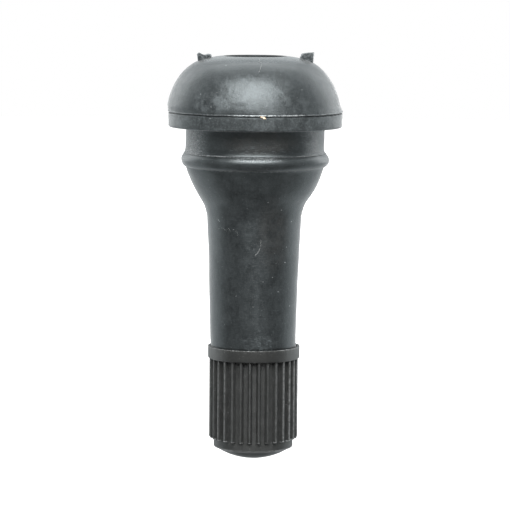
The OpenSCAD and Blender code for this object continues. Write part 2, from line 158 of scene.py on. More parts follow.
class BrassSizes(bpy.types.PropertyGroup):
    """Sizes of the brass stem. Depths are measured from its mouth."""
    foot_radius: length("Foot radius", "Radius of the foot in the head", brass_high.x)
    foot_top: height("Foot top", "Height of the foot's face, the floor of the recess", brass_high.z)
    foot_height: length("Foot height", "Thickness of the foot", 1.3 * MM)
    edge: length("Edge", "Break of the turned edges", 0.05 * MM)
    waist_radius: length("Waist radius", "Radius of the waist under the foot", 2.9 * MM)
    waist_height: length("Waist height", "Height of the waist", 6 * MM)
    waist_slope: length("Waist slope", "Height of the slopes at the waist's ends", 1.2 * MM)
    waist_bend: length("Waist bend", "Rounding of the waist's corners", 0.5 * MM)
    barb_radius: length("Barb radius", "Radius over the bonding barbs", 3.75 * MM)
    barb_height: length("Barb height", "Height of a barb's slope", 1.5 * MM)
    barbs: IntProperty(name="Barbs", description="Number of bonding barbs", default=4, min=1)
    shank_radius: length("Shank radius", "Radius inside the rubber", 3.45 * MM)
    mouth: height("Stem's mouth", "Height of the mouth of the stem", brass_low.z)
    mouth_edge: length("Mouth edge", "Bevel at the mouth of the bore", 0.3 * MM)
    crest_radius: length("Crest radius", "Radius over the outside thread", 3.85 * MM)
    root_radius: length("Root radius", "Radius at the root of the outside thread", 3.38 * MM)
    collar: length("Collar", "Height of the plain collar over the outside thread", 0.1 * MM)
    relief: length("Relief", "From the rubber's end to the top of the outside thread", 0.35 * MM)
    runout: length("Run-out", "Length over which the outside thread dies away", 0.5 * MM)
    pitch: length("Outside pitch", "Rise of the outside thread in a turn", INCH / 32)
    bore_radius: length("Bore radius", "Radius of the bore for the core", 2.6 * MM)
    bore_crest: length("Bore crest", "Radius inside the crests of the bore's thread", 2.27 * MM)
    bore_pitch: length("Bore pitch", "Rise of the bore's thread in a turn", INCH / 36)
    bore_runout: length("Bore run-out", "Length over which that thread dies away", 0.35 * MM)
    bore_thread: length("Bore thread", "Depth of the end of the bore's thread", 4.6 * MM)
    seat_start: length("Seat's start", "Depth at which the tapered seat starts", 5.6 * MM)
    seat_end: length("Seat's end", "Depth at which the tapered seat ends", 7.2 * MM)
    chamber_radius: length("Chamber radius", "Radius of the chamber behind the seat", 2.05 * MM)
    chamber_end: length("Chamber's end", "Depth of the end of the chamber", 17.5 * MM)
    passage_radius: length("Passage radius", "Radius of the air passage", 1.3 * MM)
    passage_edge: length("Passage edge", "Bevel where the passage meets the foot's face", 0.35 * MM)
    facet: length("Facet", "Longest facet along the outline", 1.2 * MM)
    segments: IntProperty(name="Segments", description="Facets round the brass", default=96, min=24)


class CapSizes(bpy.types.PropertyGroup):
    """Sizes of the screw cap."""
    top: height("Cap's mouth", "Height of the mouth of the cap", cap_high.z)
    tip: height("Cap's tip", "Height of the crown of the closed end", cap_low.z)
    collar_radius: length("Collar radius", "Radius of the collar at the mouth", cap_high.x)
    collar_height: length("Collar height", "Height of that collar", 1.33 * MM)
    collar_edge: length("Collar edge", "Rounding of the collar's edges", 0.12 * MM)
    nick: length("Nick", "Depth of the nicks in the collar's worn edge", 0.05 * MM)
    rib_radius: length("Rib radius", "Radius over the grip ribs", 4.87 * MM)
    wall_radius: length("Wall radius", "Radius between the ribs", 4.36 * MM)
    rib_end: length("Rib end", "Height of the sloped lower ends of the ribs", 0.16 * MM)
    nose_height: length("Nose height", "Height of the plain nose", 0.88 * MM)
    nose_bend: length("Nose bend", "Rounding of the nose's lower edge", 0.13 * MM)
    crown_height: length("Crown height", "Rise of the domed end", 1.3 * MM)
    crown_inset: length("Crown inset", "How far the domed end is smaller than the nose", 0.15 * MM)
    mouth_radius: length("Mouth radius", "Radius of the mouth that takes the rubber", 4.74 * MM)
    mouth_edge: length("Mouth edge", "Bevel of the mouth, and half the face outside it", 0.03 * MM)
    mouth_depth: length("Mouth depth", "Depth of the mouth", 1.0 * MM)
    bore_radius: length("Bore radius", "Radius at the root of the cap's thread", 3.9 * MM)
    bore_crest: length("Bore crest", "Radius inside the crests of the cap's thread", 3.47 * MM)
    lead_in: length("Lead-in", "Height of the slope from the mouth to the thread", 0.35 * MM)
    relief: length("Relief", "From the seal washer to the thread", 0.06 * MM)
    runout: length("Run-out", "Length over which the thread dies away", 0.5 * MM)
    floor: height("Cap's floor", "Height of the floor that the seal lies on", seal_low.z)
    play: length("Play", "How far the cap sits aside of the axis on its loose thread", 0.05 * MM)
    facet: length("Facet", "Longest facet along the outline", 0.4 * MM)
    ribs: IntProperty(name="Ribs", description="Number of grip ribs", default=30, min=12)
    phase: angle("Rib phase", "Angle of the first rib from the front", 7.2)


class CoreSizes(bpy.types.PropertyGroup):
    """Sizes of the valve core."""
    ring_height: length("Nut height", "From the key bar's end to the nut's threaded ring", 1.5 * MM)
    root_radius: length("Nut root", "Radius at the root of the nut's thread", 2.2 * MM)
    runout: length("Run-out", "Length over which the nut's thread dies away", 0.3 * MM)
    cavity_radius: length("Cavity radius", "Radius inside the nut", 2.05 * MM)
    lip_radius: length("Lip radius", "Radius inside the lip that holds the barrel", 1.7 * MM)
    lip_height: length("Lip height", "Height of that lip", 0.5 * MM)
    bar_half: length("Key bar half", "Half the width of the key bar", 0.9 * MM)
    bar_bore: length("Key bar bore", "Radius of the hole for the pin in the key bar", 1.05 * MM)
    bar_lap: length("Key bar lap", "How far the key bar reaches into the ring", 0.88 * MM)
    bar_edge: length("Key bar edge", "Rounding of the key bar's edges", 0.08 * MM)
    coil_radius: length("Coil radius", "Radius of the spring to the middle of its wire", 1.06 * MM)
    wire: length("Wire", "Thickness of the spring's wire", 0.28 * MM)
    coils: FloatProperty(name="Coils", description="Turns of the spring", default=8.0, min=3.0)


class Finishes(bpy.types.PropertyGroup):
    """Colours of the valve's materials."""
    rubber: colour("Rubber", "Moulded rubber", (0.0092, 0.0106, 0.0111))
    # Also painted sheen: the top of the dome and the stem's flanks are made paler with this colour
    rubber_dust_and_sheen: colour("Rubber dust", "Dry dust and bloom on the rubber", (0.062, 0.070, 0.0725))
    rubber_stain: colour("Stain", "Brown stain on the rubber", (0.030, 0.023, 0.0185))
    # Also painted highlight: the dome's highlight, the middle of the mould line and the bead's glint are made
    # paler with this colour
    rubber_specks_and_glints: colour("Specks", "Pale specks and worn edges of the rubber", (0.36, 0.38, 0.385))
    plastic: colour("Cap plastic", "Moulded plastic of the cap", (0.0095, 0.0102, 0.0101))
    # Also painted sheen: the cap's ribs, collar and nose edge get paler with this colour towards the sides
    plastic_wear_and_sheen: colour("Worn plastic", "Scuffed edges of the cap", (0.22, 0.228, 0.23))
    brass: colour("Brass", "Turned brass", (0.70, 0.50, 0.22))
    brass_tarnish: colour("Tarnish", "Tarnish in the roots and corners", (0.30, 0.19, 0.08))
    seal: colour("Seal rubber", "Seal washer and seat gasket", (0.022, 0.022, 0.023))
    steel: colour("Spring steel", "Drawn spring wire", (0.46, 0.46, 0.47))
    packing: colour("Packing", "Sealing ring of the core", (0.24, 0.030, 0.022))


class Studio(bpy.types.PropertyGroup):
    """Camera, lights and floor."""
    distance: length("Camera distance", "From the camera to the middle of the valve", 307.3 * MM)
    elevation: angle("Elevation", "Camera's height over the horizon", 6.2)
    roll: angle("Roll", "Turn of the camera about its own line of sight", 0.4)
    aim: FloatVectorProperty(name="Aim", description="Point that the camera looks at", size=3,
                             default=(0.12 * MM, 0.0, -14.09 * MM), subtype="XYZ", unit="LENGTH")
    lens: FloatProperty(name="Lens", description="Focal length in millimetres on a 36 mm sensor",
                        default=197.7, min=10)
    lamp_distance: length("Lamp distance", "From the lamps to the seat plane", 500 * MM)
    floor: height("Floor", "Height of the studio floor, clear of the cap when it is screwed off",
                  -47 * MM)
    floor_reach: length("Floor reach", "Half the width of the floor", 800 * MM)
    shadow_start: length("Shadow's start", "Out to here the floor shows its shadow in full", 100 * MM)
    shadow_end: length("Shadow's end", "From here on the floor is plain white", 300 * MM)


def line_top(size):
    """Height of the dome's lower edge, at the top of the mould line."""
    return size.land_height + size.line_height


def stem_heights(size):
    """Heights of the tops of the cone and the stem, and of the bend between the stem's tapers."""
    cone_z = -size.neck_height - size.bead_height
    stem_z = cone_z - size.cone_height
    return cone_z, stem_z, stem_z + (size.end_height - stem_z) * STEM_BEND_SHARE


def cap_heights(size):
    """Heights of the nose's lower edge and of the lower and upper ends of the ribs."""
    nose_z = size.tip + size.crown_height
    return nose_z, nose_z + size.nose_height, size.top - size.collar_height


def math_node(operation, swapped=False):
    """A method that adds one Math node, with its own number as the first or the last operand."""
    def method(self, *others):
        operands = (*others, self) if swapped else (self, *others)
        return self.graph.node("ShaderNodeMath", {"operation": operation}, dict(enumerate(operands)))[0]
    return method


class Value:
    """A number in a node tree: an expression on it adds the tree's Math nodes."""
    __add__ = math_node("ADD")
    __radd__ = math_node("ADD", swapped=True)
    __sub__ = math_node("SUBTRACT")
    __rsub__ = math_node("SUBTRACT", swapped=True)
    __mul__ = math_node("MULTIPLY")
    __rmul__ = math_node("MULTIPLY", swapped=True)
    __truediv__ = math_node("DIVIDE")
    __rtruediv__ = math_node("DIVIDE", swapped=True)
    __pow__ = math_node("POWER")
    __abs__ = math_node("ABSOLUTE")
    least = math_node("MINIMUM")
    most = math_node("MAXIMUM")
    sine = math_node("SINE")
    cosine = math_node("COSINE")

    def __init__(self, graph, socket):
        self.graph, self.socket = graph, socket

    def ramp(self, low, high, to_low=0.0, to_high=1.0, smooth=True):
        """Rises from to_low at low to to_high at high, and holds outside them."""
        kind = "SMOOTHSTEP" if smooth else "LINEAR"
        return self.graph.node("ShaderNodeMapRange", {"interpolation_type": kind, "clamp": True},
                               {"Value": self, "From Min": low, "From Max": high,
                                "To Min": to_low, "To Max": to_high})[0]


class Graph:
    """One node tree, shader or geometry."""

    def __init__(self, tree):
        self.tree = tree

    def node(self, kind, settings=None, inputs=None):
        """Adds a node: its settings first, then the values or links of its inputs."""
        made = self.tree.nodes.new(kind)
        for key, value in (settings or {}).items():
            setattr(made, key, value)
        for key, value in (inputs or {}).items():
            if isinstance(value, Value):
                self.tree.links.new(value.socket, made.inputs[key])
            else:
                made.inputs[key].default_value = value
        return Outputs(self, made)

    def blend(self, factor, first, second):
        """Mixes two colours."""
        return self.node("ShaderNodeMix", {"data_type": "RGBA"},
                         {0: factor, 6: rgba(first), 7: rgba(second)})[2]


class Outputs:
    """A node's outputs, by number or name."""

    def __init__(self, graph, node):
        self.graph, self.made = graph, node

    def __getitem__(self, key):
        return Value(self.graph, self.made.outputs[key])


def rgba(value):
    """A colour with its alpha, or the link that gives it."""
    return value if isinstance(value, Value) else (*value[:3], 1.0)


def surface(name, paint, scene):
    """A material whose look paint() gives, from the graph, the place, its x, y, z and the scene."""
    material = bpy.data.materials.new(name)
    material.use_nodes = True
    material.node_tree.nodes.clear()
    g = Graph(material.node_tree)
    place = g.node("ShaderNodeTexCoord")["Object"]
    axes = g.node("ShaderNodeSeparateXYZ", None, {0: place})
    look = paint(g, place, axes["X"], axes["Y"], axes["Z"], scene)
    normal = None
    for high, depth, share in look.pop("bumps", []):
        inputs = {"Height": high, "Distance": depth, "Strength": share}
        if normal is not None:
            inputs["Normal"] = normal
        normal = look["Normal"] = g.node("ShaderNodeBump", None, inputs)["Normal"]
    shader = g.node("ShaderNodeBsdfPrincipled", None, look)["BSDF"]
    g.node("ShaderNodeOutputMaterial", None, {"Surface": shader})
    return material


def grain(g, place, size, detail=3.0, rough=0.55, twist=0.0):
    """Noise from 0 to 1 whose lumps are about this size."""
    return g.node("ShaderNodeTexNoise", {"noise_dimensions": "4D"},
                  {"Vector": place, "W": twist, "Scale": 1 / size, "Detail": detail,
                   "Roughness": rough})["Fac"]


def specks(g, place, size, share, twist=0.0):
    """1 in scattered specks of about this size, on a share of the cells."""
    cells = g.node("ShaderNodeTexVoronoi", {"voronoi_dimensions": "4D"},
                   {"Vector": place, "W": twist, "Scale": 0.4 / size})
    pick = g.node("ShaderNodeSeparateColor", None, {0: cells["Color"]})["Red"]
    return cells["Distance"].ramp(0.22, 0.12) * pick.ramp(1 - share, 1 - share + 0.02)


def stretched(g, place, shares):
    """The place scaled along each axis, which stretches a noise the other way."""
    return g.node("ShaderNodeVectorMath", {"operation": "MULTIPLY"}, {0: place, 1: shares})[0]


def band(value, low, high, soft):
    """1 between two values, falling off over a soft edge outside them."""
    return value.ramp(low - soft, low) * value.ramp(high + soft, high)


def patches(x, z, places):
    """Soft ovals in the front view: (x, z), half width, half height, in millimetres, and strength."""
    total = 0.0
    for (across, up), wide, tall, strength in places:
        right, above = (x - across * MM) / (wide * MM), (z - up * MM) / (tall * MM)
        total += (right * right + above * above).ramp(1.0, 0.1) * strength
    return total


def marks(g, x, z, places):
    """1 in small marks in the front view, given as (x, z, size) in millimetres."""
    here = g.node("ShaderNodeCombineXYZ", None, {"X": x, "Y": z})[0]
    found = None
    for across, up, size in places:
        away = g.node("ShaderNodeVectorMath", {"operation": "DISTANCE"},
                      {0: here, 1: (across * MM, up * MM, 0.0)})["Value"]
        spot = away.ramp(size * 0.8 * MM, size * 0.3 * MM)
        found = spot if found is None else found.most(spot)
    return found


# Pale specks on the rubber, as (x, z, size), and ovals of smudges, rubbing, film, scuffs, stain and painted
# highlight, all in the front view and in millimetres, placed where the photograph shows them
RUBBER_SPECKS = (
    (-3.12, 6.89, 0.07), (-4.04, 4.10, 0.06), (-5.81, 3.88, 0.08), (-4.66, 2.57, 0.08), (5.00, 4.39, 0.07),
    (-4.76, 1.35, 0.09), (-3.86, -9.92, 0.08), (-3.76, -10.05, 0.06), (1.48, -7.78, 0.07),
    (2.94, -8.69, 0.07), (4.05, -10.06, 0.08), (3.53, -12.81, 0.07), (3.38, -14.49, 0.08),
    (2.03, -16.04, 0.07), (1.01, -16.50, 0.06), (2.64, -17.66, 0.07), (-1.91, -18.09, 0.07),
    (-0.06, -19.23, 0.06), (3.92, -19.35, 0.08))
# Painted highlight: ovals on the dome where its highlight falls, made paler and mottled
DOME_HIGHLIGHT = (((-0.2, 4.1), 4.8, 2.5, 1.0), ((-4.6, 2.9), 2.6, 1.3, 1.0), ((4.6, 2.6), 1.8, 1.0, 0.4))
SMUDGE = (((2.4, 5.6), 0.4, 1.3, 1.0), ((2.95, 5.3), 0.3, 1.2, 1.0), ((-1.6, 2.9), 1.0, 0.3, 1.0))
RUBBED = (((1.6, -1.9), 3.2, 0.9, 1.0), ((0.3, -2.2), 4.5, 0.6, 1.0))
# Painted highlight: the glint on the bead
GLINT = (((0.3, -3.1), 3.4, 0.3, 0.3),)
FILM = (((0.2, -13.5), 1.8, 6.0, 1.0), ((0.3, -20.5), 1.6, 3.6, 1.0))
SCUFF = (((0.7, -23.3), 2.4, 1.0, 1.0),)
STAIN = (((2.1, -11.5), 2.2, 5.0, 0.2), ((0.6, -1.3), 4.6, 1.6, 0.4))
# Painted shade: near black, put where shade falls in the rubber's recess, just above the cap, and on the
# cap's collar and domed end
PAINTED_SHADE = (0.004, 0.004, 0.004)


def rubber_places(x, y, z, size):
    """Where the rubber's features and marks lie: each is more than 0 on its own place alone."""
    radius = (x * x + y * y) ** 0.5
    crown, lip_z, neck_low = size.crown_height, line_top(size), -size.neck_height
    cone_z, stem_z, _ = stem_heights(size)
    on = SimpleNamespace(front=y.ramp(0.5 * MM, -0.5 * MM), sides=(abs(x) / radius).ramp(0.60, 0.85))
    for name, places in (("glow", DOME_HIGHLIGHT), ("smudge", SMUDGE), ("rubbed", RUBBED), ("glint", GLINT),
                         ("film", FILM), ("scuff", SCUFF), ("stain", STAIN)):
        setattr(on, name, patches(x, z, places) * on.front)
    # The middle of the front, where the mould line gets a painted highlight
    on.middle = x.ramp(-3.5 * MM, -1.0 * MM) * x.ramp(6.0 * MM, 3.5 * MM) * on.front
    # The recess's upper wall, darkened as painted shade
    on.recess = radius.ramp(size.recess_radius + 0.28 * MM, size.recess_radius + 0.13 * MM) \
        * z.ramp(brass_high.z - 0.25 * MM, brass_high.z + 0.15 * MM)
    # The top of the dome round the recess, made paler as painted sheen
    on.top = z.ramp(crown - 0.97 * MM, crown - 0.37 * MM) \
        * radius.ramp(size.recess_radius - 0.02 * MM, size.recess_radius + 0.18 * MM)
    on.dome = z.ramp(lip_z + 0.04 * MM, lip_z + 0.34 * MM) \
        * z.ramp(crown - 1.47 * MM, crown - 2.27 * MM) * on.front
    on.stubs = z.ramp(crown - 0.97 * MM, crown - 0.67 * MM) \
        * abs(x).ramp(size.stub_reach - 0.76 * MM, size.stub_reach - 0.56 * MM) \
        * abs(y).ramp(size.stub_thickness / 2 + 0.25 * MM, size.stub_thickness / 2 + 0.05 * MM)
    on.lip = band(z, lip_z, lip_z + size.flash_height, 0.05 * MM) \
        * radius.ramp(size.head_radius - 0.12 * MM, size.head_radius - 0.04 * MM)
    on.land = band(z, 0.0, size.land_height, 0.1 * MM) \
        * radius.ramp(size.head_radius - 0.5 * MM, size.head_radius - 0.3 * MM)
    on.neck = band(z, neck_low + 0.15 * MM, -0.2 * MM, 0.2 * MM) \
        * radius.ramp(size.neck_radius + 0.33 * MM, size.neck_radius + 0.13 * MM)
    # The neck's sides, where dust and painted sparkle lie
    on.neck_sides = on.neck * on.sides
    # The hollow at the foot of the rim groove, over the bead, darkened as painted shade
    on.hollow = band(z, neck_low + 0.10 * MM, neck_low + 0.65 * MM, 0.2 * MM) \
        * radius.ramp(size.neck_radius + 0.73 * MM, size.neck_radius + 0.53 * MM)
    on.crease = band(z, neck_low + 0.01 * MM, neck_low + 0.09 * MM, 0.05 * MM) \
        * radius.ramp(size.neck_radius - 0.07 * MM, size.neck_radius + 0.03 * MM)
    on.seam = band(z, cone_z - 0.02 * MM, cone_z + 0.06 * MM, 0.04 * MM)
    # The stem's flanks, made paler as painted sheen
    on.flanks = on.sides * band(z, stem_z - 3.2 * MM, stem_z + 1.3 * MM, 1.5 * MM)
    # The rubber just above the cap's mouth, darkened as painted shade
    on.at_cap = z.ramp(cap_high.z + 0.26 * MM, cap_high.z + 0.11 * MM)
    return on


def dusty_rubber(g, place, x, y, z, scene):
    """Near black rubber under a cloudy bloom, smears, brush strokes, dry powder and pale specks, with painted
    highlights on the dome, along the middle of the mould line and on the bead, painted sheen on the top of
    the dome and the stem's flanks, painted sparkle with the dust on the neck's sides, and painted shade in
    the recess, the hollow over the bead and just above the cap.
    """
    size, tints = scene.valve_rubber, scene.valve_finishes
    on, crown = rubber_places(x, y, z, size), size.crown_height
    cloud = grain(g, place, 1.5 * MM, 5.0, 0.62)
    smear = grain(g, stretched(g, place, (1.0, 1.0, 0.75)), 0.7 * MM, 5.0, 0.68, 2.0)
    strokes = grain(g, stretched(g, place, (0.3, 0.3, 1.6)), 0.16 * MM, 3.0, 0.65, 6.0)
    dust = grain(g, place, 0.24 * MM, 5.0, 0.72, 3.0)
    fine = grain(g, place, 0.075 * MM, 4.0, 0.7, 7.0)
    # The term on the dome's highlight ovals paints pale mottles where that highlight falls (painted
    # highlight); the same ovals add to the strokes, the powder and the fine specks
    bloom = (cloud.ramp(0.25, 0.85) * 0.26 + cloud.ramp(0.45, 0.60) * on.land * 0.25
             + smear.ramp(0.25, 0.80) * (0.10 + on.film * 0.15) + smear.ramp(0.43, 0.60) * on.glow * 0.65
             + fine.ramp(0.42, 0.76) * 0.12 - 0.07)
    brushed = strokes.ramp(0.52, 0.66) * z.ramp(crown - 2.37 * MM, crown - 4.37 * MM) \
        * (0.14 + on.film * 0.20 + on.scuff * 0.6 + on.rubbed * 0.5 + on.glow * 0.25)
    powder = dust.ramp(0.42, 0.68) * (0.14 + on.glow * 0.15 + on.land * 0.44 + on.neck_sides * 0.9
                                      + on.stubs * 0.4 + on.scuff * 0.3)
    # Paler on the top of the dome round the recess and on the stem's flanks: painted sheen. Darker in the
    # hollow over the bead: painted shade.
    dust_shade_and_sheen = (bloom + brushed + powder + on.top * 0.36 + on.flanks * 0.22
             - on.neck_sides * 0.10 - on.smudge * 0.4 - on.hollow * 0.14).most(0.0)
    base = g.blend(dust_shade_and_sheen.least(1.0), tints.rubber, tints.rubber_dust_and_sheen)
    base = g.blend(on.stain * smear.ramp(0.30, 0.6), base, tints.rubber_stain)
    # The pale flash along the mould line is made brightest in the middle of the front: part worn flash, part
    # painted highlight
    lip_glint_and_crease = on.lip * (0.16 + on.middle * 0.80) + on.crease * (0.42 - on.middle * 0.24)
    # The glint on the bead is a painted highlight, and the fine specks on the neck's sides are dust and
    # painted sparkle
    wear_and_glints = (dust.ramp(0.42, 0.60) * lip_glint_and_crease + dust.ramp(0.44, 0.60) * on.glint
            + dust.ramp(0.40, 0.62) * on.seam * 0.14 + dust.ramp(0.46, 0.60) * on.stubs * 0.22
            + fine.ramp(0.56, 0.72) * (0.05 + on.land * 0.25 + on.neck_sides * 1.8 + on.glow * 0.16
                                       + on.film * 0.12))
    loose = (specks(g, place, 0.06 * MM, 0.07) + specks(g, place, 0.03 * MM, 0.07, 4.0) * 0.7) * 0.6
    ragged_x, ragged_z = x + (fine - 0.5) * 0.2 * MM, z + (dust - 0.5) * 0.2 * MM
    stuck = marks(g, ragged_x, ragged_z, RUBBER_SPECKS) * on.front * 0.7
    base = g.blend((wear_and_glints + loose.most(stuck)).least(1.0), base, tints.rubber_specks_and_glints)
    # Painted shade: near black in the recess and on the rubber just above the cap
    base = g.blend(on.recess.most(on.at_cap * dust.ramp(0.62, 0.44)), base, PAINTED_SHADE)
    rough = (0.31 + smear.ramp(0.30, 0.75) * (0.06 + on.dome * 0.08) + dust.ramp(0.30, 0.70) * 0.02
             + on.land * 0.08 + on.smudge * 0.12 + on.recess * 0.35 + on.crease * 0.15
             - on.dome * 0.015 - on.top * 0.12)
    coarse = on.neck * (0.4 + on.sides * 5.0) + on.land + on.rubbed + on.dome * 1.2 + 1.0
    return {"Base Color": base, "Roughness": rough, "IOR": 1.65, "Specular Tint": (0.89, 0.98, 1.0, 1.0),
            "Sheen Weight": 0.45, "Sheen Roughness": 0.25,
            "bumps": [(cloud, 0.06 * MM, 0.7), (dust * coarse, 0.012 * MM, 0.8),
                      (fine * coarse, 0.009 * MM, 0.8)]}


def scuffed_plastic(g, place, x, y, z, scene):
    """Black plastic, worn pale on the ribs, the ribs' lower ends and the edges of collar and nose; these get
    paler towards the sides, the ribs most on the left, as painted sheen, and the collar and the domed end are
    darkened as painted shade.
    """
    size, tints = scene.valve_cap, scene.valve_finishes
    radius = (x * x + y * y) ** 0.5
    front = y.ramp(-2.0 * MM, -3.4 * MM)
    sides = (abs(x) / radius).ramp(0.35, 0.85)
    nose_z, rib_low, rib_high = cap_heights(size)
    cloud = grain(g, place, 0.9 * MM, 4.0, 0.6, 1.0)
    fine = grain(g, place, 0.09 * MM, 4.0, 0.65, 5.0)
    chip = grain(g, place, 0.30 * MM, 4.0, 0.65, 9.0)
    worn = grain(g, place, 0.45 * MM, 3.0, 0.6, 12.0).ramp(0.46, 0.56)
    rib = radius.ramp(size.rib_radius - 0.07 * MM, size.rib_radius + 0.01 * MM) \
        * z.ramp(rib_high + 0.19 * MM, rib_high - 0.21 * MM)
    tips = radius.ramp(size.wall_radius + 0.09 * MM, size.wall_radius + 0.24 * MM) \
        * band(z, rib_low - 0.03 * MM, rib_low + 0.17 * MM, 0.1 * MM)
    mouth = radius.ramp(size.mouth_radius + 0.12 * MM, size.mouth_radius + 0.18 * MM) \
        * (z + (chip - 0.5) * 0.5 * MM).ramp(size.top - 0.07 * MM, size.top - 0.03 * MM)
    collar = band(z, rib_high + 0.04 * MM, size.top - 0.04 * MM, 0.03 * MM) \
        * radius.ramp(size.collar_radius - 0.12 * MM, size.collar_radius - 0.04 * MM)
    under = band(z, nose_z - 0.15 * MM, nose_z + 0.09 * MM, 0.05 * MM)
    # Towards the sides the ribs, their ends, the collar and the nose's edge get paler: painted sheen on top
    # of the worn edges
    edge = (rib * chip.ramp(0.30, 0.66) * (sides * (0.50 + x.ramp(0.0, -4.0 * MM) * 0.60) + 0.01)
            + tips * chip.ramp(0.35, 0.55) * (0.30 + sides * 0.40) + mouth * (0.04 + worn * front * 0.75)
            + collar * (fine.ramp(0.52, 0.72) * 0.04 + sides * 0.22)
            + under * chip.ramp(0.30, 0.55) * (0.18 + sides * 0.30))
    base = g.blend((cloud.ramp(0.35, 0.75) * 0.05 + edge).least(1.0), tints.plastic, tints.plastic_wear_and_sheen)
    crown = z.ramp(nose_z - 0.15 * MM, nose_z - 0.35 * MM)
    # Painted shade: the collar and the domed end darkened towards near black, least towards the sides
    base = g.blend(collar.most(crown) * (1.0 - sides * 0.6), base, PAINTED_SHADE)
    lint = specks(g, place, 0.045 * MM, 0.12, 2.0) + specks(g, place, 0.025 * MM, 0.16, 4.0)
    pale = (lint * 0.7 + fine.ramp(0.56, 0.70) * 0.12 * (1.0 - collar * 0.7)).least(1.0)
    return {"Base Color": g.blend(pale, base, (0.4, 0.4, 0.4)), "IOR": 1.66,
            "Roughness": fine * 0.2 + chip * 0.1 + 0.36 + front * (0.18 - sides * 0.18),
            "Specular Tint": (0.98, 1.0, 0.97, 1.0),
            "bumps": [(chip, 0.014 * MM, 0.6), (fine, 0.012 * MM, 0.7)]}


def turned_brass(g, place, x, y, z, scene):
    """Brass with fine turning marks and patches of tarnish."""
    tints = scene.valve_finishes
    radius = (x * x + y * y) ** 0.5
    cloud = grain(g, place, 1.2 * MM, 4.0, 0.6, 2.0)
    fine = grain(g, place, 0.12 * MM, 3.0, 0.6, 6.0)
    turned = ((radius + z * 0.7) * (TURN / (0.045 * MM))).sine()
    base = g.blend(cloud.ramp(0.35, 0.8) * 0.6 + fine.ramp(0.5, 0.8) * 0.25, tints.brass, tints.brass_tarnish)
    return {"Base Color": base, "Metallic": 1.0, "Roughness": cloud * 0.22 + 0.17,
            "bumps": [(turned, 0.0012 * MM, 0.35), (fine, 0.004 * MM, 0.3)]}


def soft_seal_rubber(g, place, x, y, z, scene):
    """Smooth black rubber with a little dust."""
    tints = scene.valve_finishes
    cloud = grain(g, place, 0.5 * MM, 4.0, 0.6, 8.0)
    fine = grain(g, place, 0.05 * MM, 3.0, 0.6, 2.0)
    base = g.blend(cloud.ramp(0.4, 0.8) * 0.25, tints.seal, tints.rubber_dust_and_sheen)
    return {"Base Color": base, "Roughness": cloud * 0.2 + 0.42, "bumps": [(fine, 0.006 * MM, 0.5)]}


def drawn_steel(g, place, x, y, z, scene):
    """Drawn spring wire, a little dull in patches."""
    drawn = grain(g, place, 0.06 * MM, 3.0, 0.6, 3.0)
    cloud = grain(g, place, 0.8 * MM, 3.0, 0.6, 5.0)
    base = g.blend(cloud.ramp(0.4, 0.8) * 0.5, scene.valve_finishes.steel, (0.30, 0.28, 0.26))
    return {"Base Color": base, "Metallic": 1.0, "Roughness": cloud * 0.15 + 0.2,
            "bumps": [(drawn, 0.002 * MM, 0.4)]}


def packing_ring(g, place, x, y, z, scene):
    """Red sealing ring, rubbed paler in patches."""
    cloud = grain(g, place, 0.3 * MM, 4.0, 0.6, 4.0)
    base = g.blend(cloud.ramp(0.35, 0.8) * 0.35, scene.valve_finishes.packing, (0.42, 0.12, 0.09))
    return {"Base Color": base, "Roughness": cloud * 0.2 + 0.4, "bumps": [(cloud, 0.01 * MM, 0.4)]}


def lint(g, place, x, y, z, scene):
    """Pale grey fibres."""
    tone = grain(g, place, 0.2 * MM, 3.0, 0.6, 1.0)
    return {"Base Color": g.blend(tone, (0.28, 0.29, 0.29), (0.48, 0.49, 0.48)), "Roughness": 0.7}


def crumb(g, place, x, y, z, scene):
    """A crumb, brown and cream."""
    tone = grain(g, place, 0.22 * MM, 3.0, 0.6, 2.0)
    return {"Base Color": g.blend(tone.ramp(0.40, 0.58), (0.50, 0.24, 0.08), (0.82, 0.72, 0.55)),
            "Roughness": tone * 0.3 + 0.45, "bumps": [(tone, 0.02 * MM, 0.6)]}


FINISHES = {paint.__name__: paint for paint in (
    dusty_rubber, scuffed_plastic, turned_brass, soft_seal_rubber, drawn_steel, packing_ring, lint, crumb)}


def finish(context, name):
    """The material of this name, made on first use."""
    return bpy.data.materials.get(name) or surface(name, FINISHES[name], context.scene)


def arc(r, z, radius, start, end, steps=8):
    """Points of an arc about (r, z), from one angle in degrees to another."""
    turns = [math.radians(start + (end - start) * i / steps) for i in range(steps + 1)]
    return [(r + radius * math.cos(a), z + radius * math.sin(a)) for a in turns]


def cubic(a, b, c, d, steps=24):
    """Points of a cubic curve with two handles."""
    made = []
    for i in range(steps + 1):
        t = i / steps
        u = 1 - t
        made.append(tuple(u ** 3 * a[k] + 3 * u * u * t * b[k] + 3 * u * t * t * c[k] + t ** 3 * d[k]
                          for k in (0, 1)))
    return made


def rounded(corners, steps=5):
    """An outline whose corners, given as (r, z, rounding), are turned into arcs."""
    made = []
    for i, (r, z, bend) in enumerate(corners):
        if bend <= 0 or i in (0, len(corners) - 1):
            made.append((r, z))
            continue
        here = Vector((r, z))
        back = (Vector(corners[i - 1][:2]) - here).normalized()
        ahead = (Vector(corners[i + 1][:2]) - here).normalized()
        half = back.angle(ahead) / 2
        reach = bend / math.tan(half)
        centre = here + (back + ahead).normalized() * (bend / math.sin(half))
        first, last = here + back * reach - centre, here + ahead * reach - centre
        start = math.atan2(first.y, first.x)
        swing = (math.atan2(last.y, last.x) - start + math.pi) % TURN - math.pi
        made += [(centre.x + bend * math.cos(start + swing * k / steps),
                  centre.y + bend * math.sin(start + swing * k / steps)) for k in range(steps + 1)]
    return made


